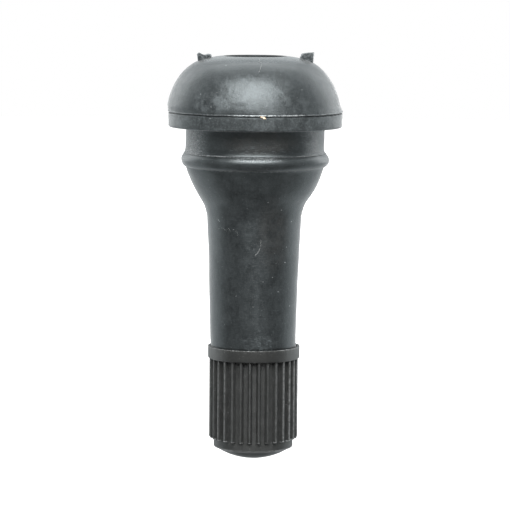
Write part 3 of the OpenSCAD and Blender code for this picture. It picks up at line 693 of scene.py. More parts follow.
def filled(points, step):
    """The outline with points added so that none is further than step from the next."""
    made = [points[0]]
    for a, b in zip(points, points[1:]):
        parts = max(1, math.ceil(math.dist(a, b) / step))
        made += [(a[0] + (b[0] - a[0]) * k / parts, a[1] + (b[1] - a[1]) * k / parts)
                 for k in range(1, parts + 1)]
    return [p for i, p in enumerate(made) if i == 0 or math.dist(p, made[i - 1]) > WELD]


def ring_angles(count):
    """Evenly spaced angles round the axis."""
    return [TURN * i / count for i in range(count)]


def polar(r, a, z):
    """The point at a radius, an angle and a height."""
    return Vector((r * math.cos(a), r * math.sin(a), z))


def lathe(made, outline, angles, closed=False, shift=None):
    """Adds the surface that an outline sweeps round the axis. A point on the axis is a pole."""
    rings = []
    for r, z in outline:
        if r < WELD:
            rings.append([made.verts.new((0, 0, z))])
            continue
        ring = []
        for a in angles:
            place = polar(r, a, z)
            ring.append(made.verts.new(shift(place, r, z, a) if shift else place))
        rings.append(ring)
    pairs = list(zip(rings, rings[1:])) + ([(rings[-1], rings[0])] if closed else [])
    for low, high in pairs:
        join_rings(made, low, high)
    return rings


def join_rings(made, low, high):
    """Faces between two rings, one of which may be a pole or have a whole share of the points."""
    if len(low) > len(high):
        low, high = high, low
    count, many = len(low), len(high) // len(low)
    for i in range(count):
        k = (i + 1) % count
        outer = [high[(i * many + j) % len(high)] for j in range(many + 1)]
        if count == 1:
            for j in range(many):
                made.faces.new([low[0], high[(j + 1) % many], high[j]])
        elif many == 1:
            made.faces.new([low[i], low[k], outer[1], outer[0]])
        else:
            made.faces.new([low[i], low[k], *reversed(outer)])


def placed(context, name, data):
    """A new object of this name in the scene."""
    obj = bpy.data.objects.new(name, data)
    context.scene.collection.objects.link(obj)
    return obj


def finished(context, made, name, material, sharp=40.0):
    """Closes the mesh, turns its faces outwards and makes it an object."""
    bmesh.ops.remove_doubles(made, verts=made.verts, dist=WELD)
    bmesh.ops.dissolve_degenerate(made, edges=made.edges, dist=WELD / 4)
    bmesh.ops.recalc_face_normals(made, faces=made.faces)
    mesh = bpy.data.meshes.new(name)
    made.to_mesh(mesh)
    made.free()
    mesh.shade_smooth()
    mesh.set_sharp_from_angle(angle=math.radians(sharp))
    mesh.materials.append(finish(context, material))
    return placed(context, name, mesh)


def tree(name, inputs):
    """An empty geometry tree with named inputs, and its group input node's outputs."""
    group = bpy.data.node_groups.new(name, "GeometryNodeTree")
    for label, kind in inputs:
        group.interface.new_socket(name=label, in_out="INPUT", socket_type="NodeSocket" + kind)
    group.interface.new_socket(name="Geometry", in_out="OUTPUT", socket_type="NodeSocketGeometry")
    g = Graph(group)
    return g, g.node("NodeGroupInput")


def close_tree(g, geometry, material):
    """Ends a tree in Realize Instances and Set Material."""
    real = g.node("GeometryNodeRealizeInstances", None, {"Geometry": geometry})["Geometry"]
    painted = g.node("GeometryNodeSetMaterial", None, {"Geometry": real, "Material": material})
    g.node("NodeGroupOutput", None, {"Geometry": painted["Geometry"]})
    return g.tree


def grown(context, group, values, source=None):
    """The plain mesh that a geometry tree makes, on a mesh or from nothing."""
    obj = placed(context, group.name, source or bpy.data.meshes.new(group.name))
    modifier = obj.modifiers.new(group.name, "NODES")
    modifier.node_group = group
    for item in group.interface.items_tree:
        if item.in_out == "INPUT" and item.name in values:
            modifier[item.identifier] = values[item.name]
    context.view_layer.update()
    graph = context.evaluated_depsgraph_get()
    mesh = bpy.data.meshes.new_from_object(obj.evaluated_get(graph), depsgraph=graph)
    bpy.data.objects.remove(obj)
    return mesh


# Rows of points across one pitch of a thread, and its flat crest and root as shares of the pitch
THREAD_ROWS, CREST_SHARE, ROOT_SHARE = 17, 0.125, 0.25
# Points in a turn of the spring and round its wire, and how loosely its end coils lie
SPRING_POINTS, WIRE_POINTS, END_COIL_RISE = 28, 14, 1.02


def thread_tree(material):
    """A screw thread: a strip one pitch high that climbs round the axis, flattened at its ends."""
    group = bpy.data.node_groups.get("screw_thread")
    if group:
        return group
    g, given = tree("screw_thread", [
        ("Low", "Float"), ("High", "Float"), ("Start", "Float"), ("Pitch", "Float"), ("Turns", "Int"),
        ("Segments", "Int"), ("Radius", "Float"), ("Depth", "Float"), ("Run-out", "Float"),
        ("Crest", "Float"), ("Root", "Float")])
    around = given["Turns"] * given["Segments"] + 1.0
    grid = g.node("GeometryNodeMeshGrid", None, {"Size X": 1.0, "Size Y": 1.0, "Vertices X": around,
                                                "Vertices Y": THREAD_ROWS})["Mesh"]
    spot = g.node("ShaderNodeSeparateXYZ", None, {0: g.node("GeometryNodeInputPosition")[0]})
    turned = (spot["X"] + 0.5) * given["Turns"]
    climb = spot["Y"] + 0.5
    z = (given["Start"] + given["Pitch"] * (turned + climb - 1.0)).most(given["Low"]).least(given["High"])
    away = abs(spot["Y"]) * 2.0
    form = away.ramp(given["Crest"], 1.0 - given["Root"], 1.0, 0.0, smooth=False)
    ends = (z - given["Low"]).least(given["High"] - z) / given["Run-out"]
    radius = given["Radius"] + given["Depth"] * form.least(ends)
    angle = turned * TURN
    place = g.node("ShaderNodeCombineXYZ", None,
                   {"X": radius * angle.cosine(), "Y": radius * angle.sine(), "Z": z})[0]
    moved = g.node("GeometryNodeSetPosition", None, {"Geometry": grid, "Position": place})["Geometry"]
    return close_tree(g, moved, material)


def thread(context, made, low, high, pitch, radius, depth, segments, start, material, runout):
    """Adds a thread between two heights to a mesh in the making."""
    start -= pitch * math.ceil((start - low) / pitch)
    turns = math.ceil((high - start) / pitch) + 1
    mesh = grown(context, thread_tree(material), {
        "Low": low, "High": high, "Start": start, "Pitch": pitch, "Turns": turns,
        "Segments": segments, "Radius": radius, "Depth": depth, "Run-out": runout,
        "Crest": CREST_SHARE, "Root": ROOT_SHARE})
    made.from_mesh(mesh)
    bpy.data.meshes.remove(mesh)


def repeat_tree(material):
    """Repeats a sector round the axis."""
    g, given = tree("repeat_round_axis", [("Sector", "Geometry"), ("Count", "Int")])
    points = g.node("GeometryNodePoints", None, {"Count": given["Count"]})[0]
    index = g.node("GeometryNodeInputIndex")[0]
    turn = g.node("ShaderNodeCombineXYZ", None, {"Z": index * TURN / given["Count"]})[0]
    placed = g.node("GeometryNodeInstanceOnPoints", None,
                    {"Points": points, "Instance": given["Sector"], "Rotation": turn})["Instances"]
    return close_tree(g, placed, material)


def spring_tree(material):
    """A wound spring whose end coils lie flat."""
    g, given = tree("wound_spring", [
        ("Coils", "Float"), ("Radius", "Float"), ("Wire", "Float"), ("Base", "Float"), ("Rise", "Float")])
    line = g.node("GeometryNodeCurveSpiral", None, {
        "Resolution": SPRING_POINTS, "Rotations": given["Coils"], "Start Radius": given["Radius"],
        "End Radius": given["Radius"], "Height": 0.0})["Curve"]
    along = g.node("GeometryNodeSplineParameter")["Factor"]
    share = 1.0 / given["Coils"]
    flat = given["Wire"] * END_COIL_RISE
    z = (given["Base"] + (along / share).least(1.0) * flat
         + ((along - (1.0 - share)) / share).most(0.0) * flat
         + along.ramp(share, 1.0 - share, smooth=False) * (given["Rise"] - flat * 2.0))
    spot = g.node("ShaderNodeSeparateXYZ", None, {0: g.node("GeometryNodeInputPosition")[0]})
    place = g.node("ShaderNodeCombineXYZ", None, {"X": spot["X"], "Y": spot["Y"], "Z": z})[0]
    moved = g.node("GeometryNodeSetPosition", None, {"Geometry": line, "Position": place})["Geometry"]
    wire = g.node("GeometryNodeCurvePrimitiveCircle", None,
                  {"Resolution": WIRE_POINTS, "Radius": given["Wire"] * 0.5})["Curve"]
    swept = g.node("GeometryNodeCurveToMesh", None,
                   {"Curve": moved, "Profile Curve": wire, "Fill Caps": True})["Mesh"]
    return close_tree(g, swept, material)


def dome_radius(size, rise):
    """Radius of the dome at a height over its lower edge."""
    share = rise / (size.crown_height - line_top(size))
    return size.head_radius * max(0.0, 1 - share ** DOME_SIDE) ** (1 / DOME_FLAT)


def dome_height(size, r):
    """Height of the dome over its lower edge at a radius."""
    share = 1 - (r / size.head_radius) ** DOME_FLAT
    return (size.crown_height - line_top(size)) * max(0.0, share) ** (1 / DOME_SIDE)


def head_outline(size, brass):
    """From the foot of the recess over the dome and the mould line to the land."""
    mouth_r, lip_z = size.recess_radius + size.mouth_edge, line_top(size)
    land_r = size.head_radius - size.land_step
    peak = dome_height(size, mouth_r)
    rises = [peak * math.sin(math.pi / 2 * i / DOME_STEPS) for i in range(DOME_STEPS, 2, -1)]
    dome = [(dome_radius(size, rise), lip_z + rise) for rise in rises]
    recess = rounded([(size.floor_radius, brass.foot_top, 0),
                      (size.floor_radius, brass.foot_top + size.recess_foot, 0),
                      (size.recess_radius, size.recess_neck, 0),
                      (size.recess_radius, lip_z + peak, size.mouth_edge * 0.95),
                      (mouth_r, lip_z + peak, 0)], 7)
    bend = size.line_bend
    lip = rounded([(*dome[-1], 0), (size.head_radius, lip_z + size.flash_height, bend),
                   (size.head_radius + size.flash, lip_z + size.flash_height * 5 / 12, bend * 0.6),
                   (size.head_radius, lip_z, bend * 0.4),
                   (land_r - size.line_depth, size.land_height + size.line_height / 2, bend * 0.6),
                   (land_r, size.land_height, bend * 0.8), (land_r, size.land_height * 0.8, 0)], 3)
    return recess + dome + lip


def neck_outline(size):
    """From the land over the seat, the rim groove and its crease to the foot of the snap bead."""
    land_r, neck_r, neck_low = size.head_radius - size.land_step, size.neck_radius, -size.neck_height
    flare_top = neck_low + size.flare_height
    under = rounded([(land_r, size.land_height * 0.8, 0), (land_r, 0, size.land_edge),
                     (neck_r, 0, size.seat_corner), (neck_r, flare_top, 0)], 8)
    flare = cubic((neck_r, flare_top), (neck_r, flare_top - size.flare_handle),
                  (neck_r + size.flare_width / 2, neck_low), (neck_r + size.flare_width, neck_low), 8)
    half, bulge = size.bead_height / 2, size.bead_radius - size.cone_radius
    bend = (half * half + bulge * bulge) / (2 * bulge)
    reach = math.degrees(math.asin(half / bend))
    crease = (neck_r + size.crease_width, neck_low - size.crease_depth)
    bead = arc(size.bead_radius - bend, neck_low - half + size.bead_lift, bend, 50, -reach, 18)
    return under + flare + [crease] + bead


def stem_outline(size, brass):
    """The cone and the stem down to the rubber's end, and back up inside along the brass."""
    cone_z, stem_z, mid_z = stem_heights(size)
    top_r, width = size.stem_top_radius, size.cone_radius - size.stem_top_radius
    handles = [(top_r + width * across, cone_z - size.cone_height * down) for across, down in CONE_HANDLES]
    cone = cubic((size.cone_radius, cone_z), *handles, (top_r, stem_z), 30)
    inner_r, inner_z = brass.crest_radius + SKIN, size.end_height + size.end_step
    stem = rounded([(top_r, stem_z, 0), (size.stem_mid_radius, mid_z, size.stem_bend),
                    (size.stem_low_radius, size.end_height, size.end_edge), (inner_r, size.end_height, 0)], 6)
    inside = [(r + SKIN, z) for r, z in reversed(shank_outline(brass, inner_z))]
    return cone[1:] + stem[1:] + [(inner_r, inner_z)] + inside


def rubber_outline(size, brass):
    """Closed outline of the rubber, from the recess over the dome and down, and back inside."""
    return filled(head_outline(size, brass) + neck_outline(size) + stem_outline(size, brass), size.facet)


def shank_outline(brass, end):
    """The brass inside the rubber, from the foot down: foot, waist and bonding barbs."""
    foot_low = brass.foot_top - brass.foot_height
    shank_z = foot_low - brass.waist_height
    made = rounded([(brass.foot_radius, brass.foot_top - brass.edge, 0),
                    (brass.foot_radius, foot_low, brass.edge * 2),
                    (brass.waist_radius, foot_low - brass.waist_slope, brass.waist_bend),
                    (brass.waist_radius, shank_z + brass.waist_slope, brass.waist_bend),
                    (brass.shank_radius, shank_z, 0)], 4)
    span = (shank_z - end) * BARBED_SHARE
    for i in range(brass.barbs):
        z = shank_z - span * (i + 1) / brass.barbs
        made += [(brass.shank_radius, z + brass.barb_height), (brass.barb_radius, z),
                 (brass.shank_radius, z - SKIN)]
    return made + [(brass.shank_radius, end)]


# How far the moulding leans aside at heights from its lower end up, in millimetres
LEAN = (
    (-24.9, 0.0), (-24.2, 0.0), (-23.0, -0.05), (-17.0, -0.045), (-15.0, 0.0), (-8.0, 0.005),
    (-7.0, 0.06), (-5.8, 0.06), (-4.6, 0.02), (-3.8, 0.085), (-2.6, 0.0), (-1.2, 0.05), (1.58, 0.055),
    (1.70, 0.07), (2.1, -0.05), (2.4, -0.13), (5.5, -0.15), (6.6, -0.12), (7.8, -0.10))
# Height from which the mouth of the recess has sunk, and over which it reaches its full sag
SAG_FROM, SAG_OVER = 7.0 * MM, 0.7 * MM


def lean(z):
    """Sideways shift of the rubber's outside at a height: the two halves of the mould didn't meet."""
    for (low, first), (high, second) in zip(LEAN, LEAN[1:]):
        if z <= high * MM:
            t = max(0.0, (z / MM - low) / (high - low))
            return (first + (second - first) * t) * MM
    return LEAN[-1][1] * MM


def wobble(a, waves, seed):
    """Noise round the axis at an angle, with about this many waves in a radian."""
    return noise.noise(Vector((math.cos(a) * waves, math.sin(a) * waves, seed)))


def torn_line(size, brass):
    """Moves a point of the rubber for its lean, its sunk mouth and the ragged mould line."""
    middle = size.land_height + size.line_height / 2
    inside = brass.crest_radius + size.end_step / 2

    def shift(place, r, z, a):
        if r < inside and z < size.recess_neck:
            return place
        near = max(0.0, 1 - abs(z - middle) / (size.line_height * 2)) * size.line_rag
        rough = wobble(a, 16, 4) + 0.7 * wobble(a, 44, 9 + z * 4 / MM)
        out = 1 + near * rough / r
        sag = size.mouth_sag * min(1.0, max(0.0, (z - SAG_FROM) / SAG_OVER))
        return Vector((place.x * out + lean(z), place.y * out,
                       place.z + near * (rough * 0.5 + wobble(a, 5, 1)) - sag))
    return shift


# Outlines of the torn stubs, as shares of their width and height
WHOLE_STUB = [(-0.5, -0.2), (0.37, -0.2), (0.5, 1), (0.03, 0.97), (-0.38, 0.88), (-0.5, 0.64)]
FORKED_STUB = [(-0.54, -0.2), (0.28, -0.2), (0.44, 0.8), (0.33, 0.93), (-0.07, 0.76), (-0.35, 0.84),
               (-0.54, 0.8), (-0.57, 0.64)]
STUB_SLICES = 9


def torn(place, reach):
    """The place moved by noise, about as far as reach."""
    seed = place * (1.3 / MM)
    aside = [noise.noise(seed + Vector(offset)) for offset in ((0, 0, 0), (5, 0, 0), (0, 7, 0))]
    return place + Vector(aside) * reach


def stub(made, size, shares, side):
    """Adds a torn moulding stub, its foot sunk in the dome."""
    foot = size.crown_height + size.stub_top - size.stub_height
    centre = [sum(axis) / len(shares) for axis in zip(*shares)]
    rows = []
    for j in range(STUB_SLICES):
        t = j / (STUB_SLICES - 1) * 2 - 1
        shrink = 1 - 0.16 * abs(t) ** 6
        row = []
        for share in shares:
            u, v = [c + (p - c) * shrink for c, p in zip(centre, share)]
            place = Vector((side * (size.stub_reach + u * size.stub_width), t * size.stub_thickness / 2,
                            foot + v * size.stub_height))
            row.append(made.verts.new(torn(place, max(0.0, v - 0.4) * size.stub_tear)))
        rows.append(row)
    for low, high in zip(rows, rows[1:]):
        join_rings(made, low, high)
    made.faces.new(rows[0])
    made.faces.new(list(reversed(rows[-1])))


class VALVE_OT_rubber(bpy.types.Operator):
    """Moulded rubber body with its mould line and torn stubs"""
    bl_idname = "valve.rubber"
    bl_label = "Rubber Body"

    def execute(self, context):
        size, brass = context.scene.valve_rubber, context.scene.valve_brass
        made = bmesh.new()
        lathe(made, rubber_outline(size, brass), ring_angles(size.segments), closed=True,
              shift=torn_line(size, brass))
        body = finished(context, made, "rubber_moulding", "dusty_rubber", 50)
        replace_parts(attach(body, "valve"), "rubber_body")
        made = bmesh.new()
        stub(made, size, WHOLE_STUB, 1)
        stub(made, size, FORKED_STUB, -1)
        bmesh.ops.recalc_face_normals(made, faces=made.faces)
        bevelled = bmesh.ops.bevel(made, geom=made.edges[:], offset=size.stub_edge, segments=2,
                                   affect="EDGES", clamp_overlap=True)
        bmesh.ops.triangulate(made, faces=[f for f in bevelled["faces"] if len(f.verts) > 4])
        stubs = finished(context, made, "torn_stubs", "dusty_rubber", 40)
        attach(stubs, "valve")
        return {"FINISHED"}


def on_rubber(size, x, z, lift=0.02):
    """The point of the rubber's front at x and z, given in millimetres and lifted a little off it."""
    here, lip_z = z * MM, line_top(size)
    _, stem_z, mid_z = stem_heights(size)
    if here > lip_z:
        r = dome_radius(size, here - lip_z)
    elif z > 0:
        r = size.head_radius
    elif here > mid_z:
        taper = (size.stem_top_radius - size.stem_mid_radius) / (stem_z - mid_z)
        r = size.stem_mid_radius + taper * (here - mid_z)
    else:
        taper = (size.stem_low_radius - size.stem_mid_radius) / (size.end_height - mid_z)
        r = size.stem_mid_radius + taper * (here - mid_z)
    r += lift * MM
    aside = x * MM - lean(here)
    return Vector((x * MM, -math.sqrt(r * r - aside * aside), here))


def fibre(made, points, radius, sides=6):
    """Adds a thin hair along points."""
    rings = []
    for i, point in enumerate(points):
        ahead = (points[min(i + 1, len(points) - 1)] - points[max(i - 1, 0)]).normalized()
        side = ahead.orthogonal().normalized()
        other = ahead.cross(side)
        thin = radius * (0.5 if i in (0, len(points) - 1) else 1)
        rings.append([made.verts.new(point + (side * math.cos(a) + other * math.sin(a)) * thin)
                      for a in ring_angles(sides)])
    for low, high in zip(rings, rings[1:]):
        join_rings(made, low, high)
    made.faces.new(rings[0])
    made.faces.new(list(reversed(rings[-1])))


def smooth_path(points, steps=5):
    """Points on a smooth line through the given ones."""
    made = []
    ends = [points[0] * 2 - points[1], *points, points[-1] * 2 - points[-2]]
    for a, b, c, d in zip(ends, ends[1:], ends[2:], ends[3:]):
        for k in range(steps):
            t = k / steps
            made.append(0.5 * (2 * b + (c - a) * t + (2 * a - 5 * b + 4 * c - d) * t * t
                               + (3 * b - a - 3 * c + d) * t ** 3))
    return made + [points[-1]]


# Thickness and line of each stray fibre, as (x, z) in the front view, in millimetres
FIBRES = (
    (0.011, ((0.40, 7.62), (0.46, 7.33), (0.70, 7.14), (0.62, 6.86), (0.50, 6.48), (0.36, 6.18))),
    (0.012, ((0.12, -13.61), (0.36, -13.38), (0.52, -13.11), (0.65, -12.86))),
    (0.006, ((0.65, -12.86), (0.74, -12.5), (0.70, -12.25), (0.76, -12.08), (0.73, -11.9))),
    (0.004, ((-3.9, -10.9), (-3.5, -10.75), (-3.1, -10.95), (-2.75, -10.75), (-2.6, -11.1))),
    (0.004, ((-2.3, -10.8), (-2.0, -10.95), (-1.75, -11.3), (-1.9, -11.5))),
    (0.004, ((0.2, -9.35), (0.6, -9.25), (1.0, -9.3), (1.3, -9.1))))


# The crumb's place and its half sizes, in millimetres, and its turn in degrees
CRUMB_PLACE, CRUMB_HALF, CRUMB_TURN = (0.9, 1.54), (0.32, 0.08, 0.085), 24


def stick_crumb(made, size):
    """Adds a knobbly crumb, flat against the rubber."""
    bmesh.ops.create_icosphere(made, subdivisions=3, radius=1.0)
    turn = Matrix.Rotation(math.radians(CRUMB_TURN), 3, "Y")
    wide, deep, tall = CRUMB_HALF
    for vert in made.verts:
        x, y, z = vert.co
        rough = 1 + 0.45 * noise.noise(vert.co * 2.3)
        flat = Vector((x * wide, y * deep, z * (tall + 0.04 * math.sin(x * 5))))
        vert.co = turn @ (flat * rough * MM) + on_rubber(size, *CRUMB_PLACE, 0.03)


class VALVE_OT_lint(bpy.types.Operator):
    """Stray fibres that cling to the rubber and a crumb stuck at the mould line"""
    bl_idname = "valve.lint"
    bl_label = "Lint"

    def execute(self, context):
        size = context.scene.valve_rubber
        made = bmesh.new()
        for thickness, line in FIBRES:
            fibre(made, smooth_path([on_rubber(size, x, z) for x, z in line]), thickness * MM)
        hair = finished(context, made, "lint_fibres", "lint", 60)
        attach(hair, "valve")
        made = bmesh.new()
        stick_crumb(made, size)
        crumb = finished(context, made, "stuck_crumb", "crumb", 60)
        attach(crumb, "valve")
        return {"FINISHED"}


def turned_outside(brass, size, thread_top):
    """The brass from the recess's floor over the foot and down to its thread."""
    shoulder = size.end_height + size.end_step
    face = [(size.floor_radius, brass.foot_top), (brass.foot_radius - brass.edge, brass.foot_top)]
    end = rounded([(brass.shank_radius, shoulder, 0), (brass.crest_radius, shoulder, brass.edge),
                   (brass.crest_radius, size.end_height - brass.collar, brass.edge),
                   (brass.root_radius, thread_top, 0)], 3)
    return filled(face + shank_outline(brass, shoulder) + end, brass.facet)


def turned_bore(brass, size):
    """The bore from the end of its thread to the recess's floor: seat, chamber and passage."""
    chamber_z, step = brass.mouth + brass.chamber_end, brass.chamber_radius - brass.passage_radius
    return filled([(brass.bore_radius, brass.mouth + brass.bore_thread),
                   (brass.bore_radius, brass.mouth + brass.seat_start),
                   (brass.chamber_radius, brass.mouth + brass.seat_end), (brass.chamber_radius, chamber_z),
                   (brass.passage_radius, chamber_z + step),
                   (brass.passage_radius, brass.foot_top - brass.passage_edge),
                   (brass.passage_radius + brass.passage_edge, brass.foot_top),
                   (size.floor_radius, brass.foot_top)], brass.facet)


class VALVE_OT_stem(bpy.types.Operator):
    """Brass stem with its outside thread and the bore's thread"""
    bl_idname = "valve.stem"
    bl_label = "Brass Stem"

    def execute(self, context):
        brass, size = context.scene.valve_brass, context.scene.valve_rubber
        material = finish(context, "turned_brass")
        made = bmesh.new()
        angles = ring_angles(brass.segments)
        thread_top, bore_low = size.end_height - brass.relief, brass.mouth + brass.mouth_edge
        lathe(made, turned_outside(brass, size, thread_top), angles)
        thread(context, made, brass.mouth, thread_top, brass.pitch, brass.root_radius,
               brass.crest_radius - brass.root_radius, brass.segments, brass.mouth, material, brass.runout)
        lathe(made, [(brass.root_radius, brass.mouth), (brass.bore_radius + brass.mouth_edge, brass.mouth),
                     (brass.bore_radius, bore_low)], angles)
        thread(context, made, bore_low, brass.mouth + brass.bore_thread, brass.bore_pitch, brass.bore_radius,
               brass.bore_crest - brass.bore_radius, brass.segments, brass.mouth, material, brass.bore_runout)
        lathe(made, turned_bore(brass, size), angles)
        stem = finished(context, made, "threaded_stem", "turned_brass", 35)
        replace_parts(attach(stem, "valve"), "brass_stem")
        return {"FINISHED"}


# Where points lie on half a rib, from its middle to a groove's middle, in twelfths of the ribs' spacing
RIB_HALF = (0.0, 0.7, 1.2, 1.7, 2.2, 2.7, 3.3, 4.6, 6.0)
RIB_ACROSS = (*[-away for away in reversed(RIB_HALF)], *RIB_HALF[1:])
# Rows of points up the ribs' sloped ends and up the ribs, and points outside for each one inside
SLOPE_STEPS, RIB_STEPS, INSIDE_SHARE = 6, 14, 4


def rib_angle(size, rib, away):
    """The angle of a point of a rib, some twelfths away from its middle."""
    return size.phase - math.pi / 2 + TURN * rib / size.ribs + away * (TURN / size.ribs / 12.0)


def rib_rise(size, away, z):
    """How far the cap's wall stands out there, as a share of a rib's height."""
    t = min(1.0, max(0.0, (3.2 - abs(away)) / 2.3))
    across = t * t * (3 - 2 * t)
    foot = min(1.0, max(0.0, (z - cap_heights(size)[1]) / size.rib_end))
    return across * (1 - (1 - foot) ** 1.5)


def worn_edge(size):
    """Moves a point of the collar so that the outer edge of its mouth is nicked."""
    deep, start, wide = 0.2 * MM, size.mouth_radius + 0.08 * MM, 0.12 * MM

    def shift(place, r, z, a):
        near = max(0.0, 1 - (size.top - z) / deep) * min(1.0, max(0.0, (r - start) / wide))
        nick = wobble(a, 14, 3) + 0.8 * wobble(a, 36, 5)
        return place + polar(1, a, 1) * (near * nick * size.nick)
    return shift


def add_collar(made, size, angles):
    """The collar, from the face of the mouth to the ribs' upper ends."""
    rib_high = cap_heights(size)[2]
    collar = rounded([(size.mouth_radius + size.mouth_edge * 2, size.top, 0),
                      (size.collar_radius, size.top, size.collar_edge),
                      (size.collar_radius, rib_high, size.collar_edge),
                      (size.rib_radius + SKIN, rib_high, 0)], 5)
    lathe(made, filled(collar, size.facet), angles, shift=worn_edge(size))


def add_ribs(context, made, size, material):
    """One rib with half a groove on either side, repeated round the cap."""
    _, rib_low, rib_high = cap_heights(size)
    slope_top, depth = rib_low + size.rib_end, size.rib_radius - size.wall_radius
    heights = [rib_low + size.rib_end * k / SLOPE_STEPS for k in range(SLOPE_STEPS + 1)]
    heights += [slope_top + (rib_high - slope_top) * k / RIB_STEPS for k in range(1, RIB_STEPS + 1)]
    rows = [[(size.wall_radius + depth * rib_rise(size, away, z), away, z) for away in RIB_ACROSS]
            for z in heights]
    rows.append([(size.rib_radius + SKIN, away, rib_high) for away in RIB_ACROSS])
    sector = bmesh.new()
    grid = [[sector.verts.new(polar(r, rib_angle(size, 0, away), z)) for r, away, z in row] for row in rows]
    for low, high in zip(grid, grid[1:]):
        for i in range(len(low) - 1):
            sector.faces.new([low[i], low[i + 1], high[i + 1], high[i]])
    mesh = bpy.data.meshes.new("rib_sector")
    sector.to_mesh(mesh)
    sector.free()
    made.from_mesh(grown(context, repeat_tree(material), {"Count": size.ribs}, mesh))


def add_nose(made, size, angles):
    """The plain nose and the domed end."""
    nose_z, rib_low, _ = cap_heights(size)
    crown_r = size.wall_radius - size.crown_inset
    ball = (crown_r ** 2 + size.crown_height ** 2) / (2 * size.crown_height)
    reach = math.degrees(math.asin(crown_r / ball))
    crown = arc(0, size.tip + ball, ball, reach - 90, -90, 22)
    nose = rounded([(size.wall_radius, rib_low, 0), (size.wall_radius, nose_z, size.nose_bend),
                    (*crown[1], 0)], 5)
    lathe(made, filled(nose + crown[2:-1] + [(0.0, size.tip)], size.facet), angles)


def add_inside(context, made, size, brass, angles, material):
    """The mouth, the thread and the floor, with fewer facets round than the ribs have."""
    inner = ring_angles(len(angles) // INSIDE_SHARE)
    face_r = size.mouth_radius + size.mouth_edge
    outer_ring = lathe(made, [(size.mouth_radius + size.mouth_edge * 2, size.top)], angles)[0]
    inner_ring = lathe(made, [(face_r, size.top)], inner)[0]
    ahead = round(angles[0] / (TURN / len(inner)))
    join_rings(made, inner_ring[ahead:] + inner_ring[:ahead], outer_ring)
    mouth_low = size.top - size.mouth_depth
    thread_high, thread_low = mouth_low - size.lead_in, seal_high.z + size.relief
    lathe(made, filled([(face_r, size.top), (size.mouth_radius, size.top - size.mouth_edge),
                        (size.mouth_radius, mouth_low), (size.bore_radius, thread_high)], size.facet), inner)
    thread(context, made, thread_low, thread_high, brass.pitch, size.bore_radius,
           size.bore_crest - size.bore_radius, len(inner), brass.mouth + brass.pitch / 2, material,
           size.runout)
    floor = [(size.bore_radius, thread_low), (size.bore_radius, size.floor), (0.0, size.floor)]
    lathe(made, filled(floor, size.facet * 2), inner)


class VALVE_OT_cap(bpy.types.Operator):
    """Screw cap: collar, grip ribs, domed end and inside thread"""
    bl_idname = "valve.cap"
    bl_label = "Cap"

    def execute(self, context):
        size, brass = context.scene.valve_cap, context.scene.valve_brass
        material = finish(context, "scuffed_plastic")
        made = bmesh.new()
        angles = [rib_angle(size, rib, away) for rib in range(size.ribs) for away in RIB_ACROSS[:-1]]
        add_collar(made, size, angles)
        add_ribs(context, made, size, material)
        add_nose(made, size, angles)
        add_inside(context, made, size, brass, angles, material)
        bmesh.ops.translate(made, verts=made.verts, vec=(size.play, 0, 0))
        cap = finished(context, made, "ribbed_cap", "scuffed_plastic", 45)
        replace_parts(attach(cap, "cap"), "cap_shell")
        return {"FINISHED"}


def add_nut_ring(context, made, size, brass, ring_low):
    """The nut's threaded ring, with the lip that holds the barrel."""
    root, ring_high, lip_low = size.root_radius, nut_high.z, nut_high.z - size.lip_height
    thread(context, made, ring_low, ring_high, brass.bore_pitch, root, nut_high.x - root - SKIN,
           brass.segments, brass.mouth + brass.bore_pitch / 2, finish(context, "turned_brass"), size.runout)
    lathe(made, [(root, ring_high), (size.lip_radius, ring_high), (size.lip_radius, lip_low),
                 (size.cavity_radius, lip_low), (size.cavity_radius, ring_low), (root, ring_low)],
          ring_angles(brass.segments))


def add_key_bar(made, size, ring_low):
    """The two halves of the key bar, on either side of the pin."""
    for side in (0.0, math.pi):
        outline = []
        for radius, sign in ((size.root_radius, 1), (size.bar_bore, -1)):
            half = math.asin(min(1.0, size.bar_half / radius))
            outline += [(radius, side + sign * half * (i / 8 * 2 - 1)) for i in range(9)]
        low, high = [[made.verts.new(polar(r, a, z)) for r, a in outline]
                     for z in (nut_low.z, ring_low + size.bar_lap)]
        join_rings(made, low, high)
        made.faces.new(low)
        made.faces.new(list(reversed(high)))
    bmesh.ops.recalc_face_normals(made, faces=made.faces)
    rims = [edge for edge in made.edges if edge.calc_face_angle(0) > math.radians(40)]
    bmesh.ops.bevel(made, geom=rims, offset=size.bar_edge, segments=3, affect="EDGES", clamp_overlap=True)


def wound_spring(context, size):
    """The coil spring as its tree makes it."""
    mesh = grown(context, spring_tree(finish(context, "drawn_steel")), {
        "Coils": size.coils, "Radius": size.coil_radius, "Wire": size.wire,
        "Base": spring_low.z + size.wire / 2, "Rise": spring_high.z - spring_low.z - size.wire})
    mesh.name = "wound_spring"
    mesh.shade_smooth()
    return placed(context, "wound_spring", mesh)


# Finishes of the CAD pieces that are shown as they are
PLAIN_PIECES = {"core_barrel": "turned_brass", "core_pin": "turned_brass", "seat_cup": "turned_brass",
                "seat_gasket": "soft_seal_rubber", "cap_seal": "soft_seal_rubber",
                "barrel_packing": "packing_ring"}


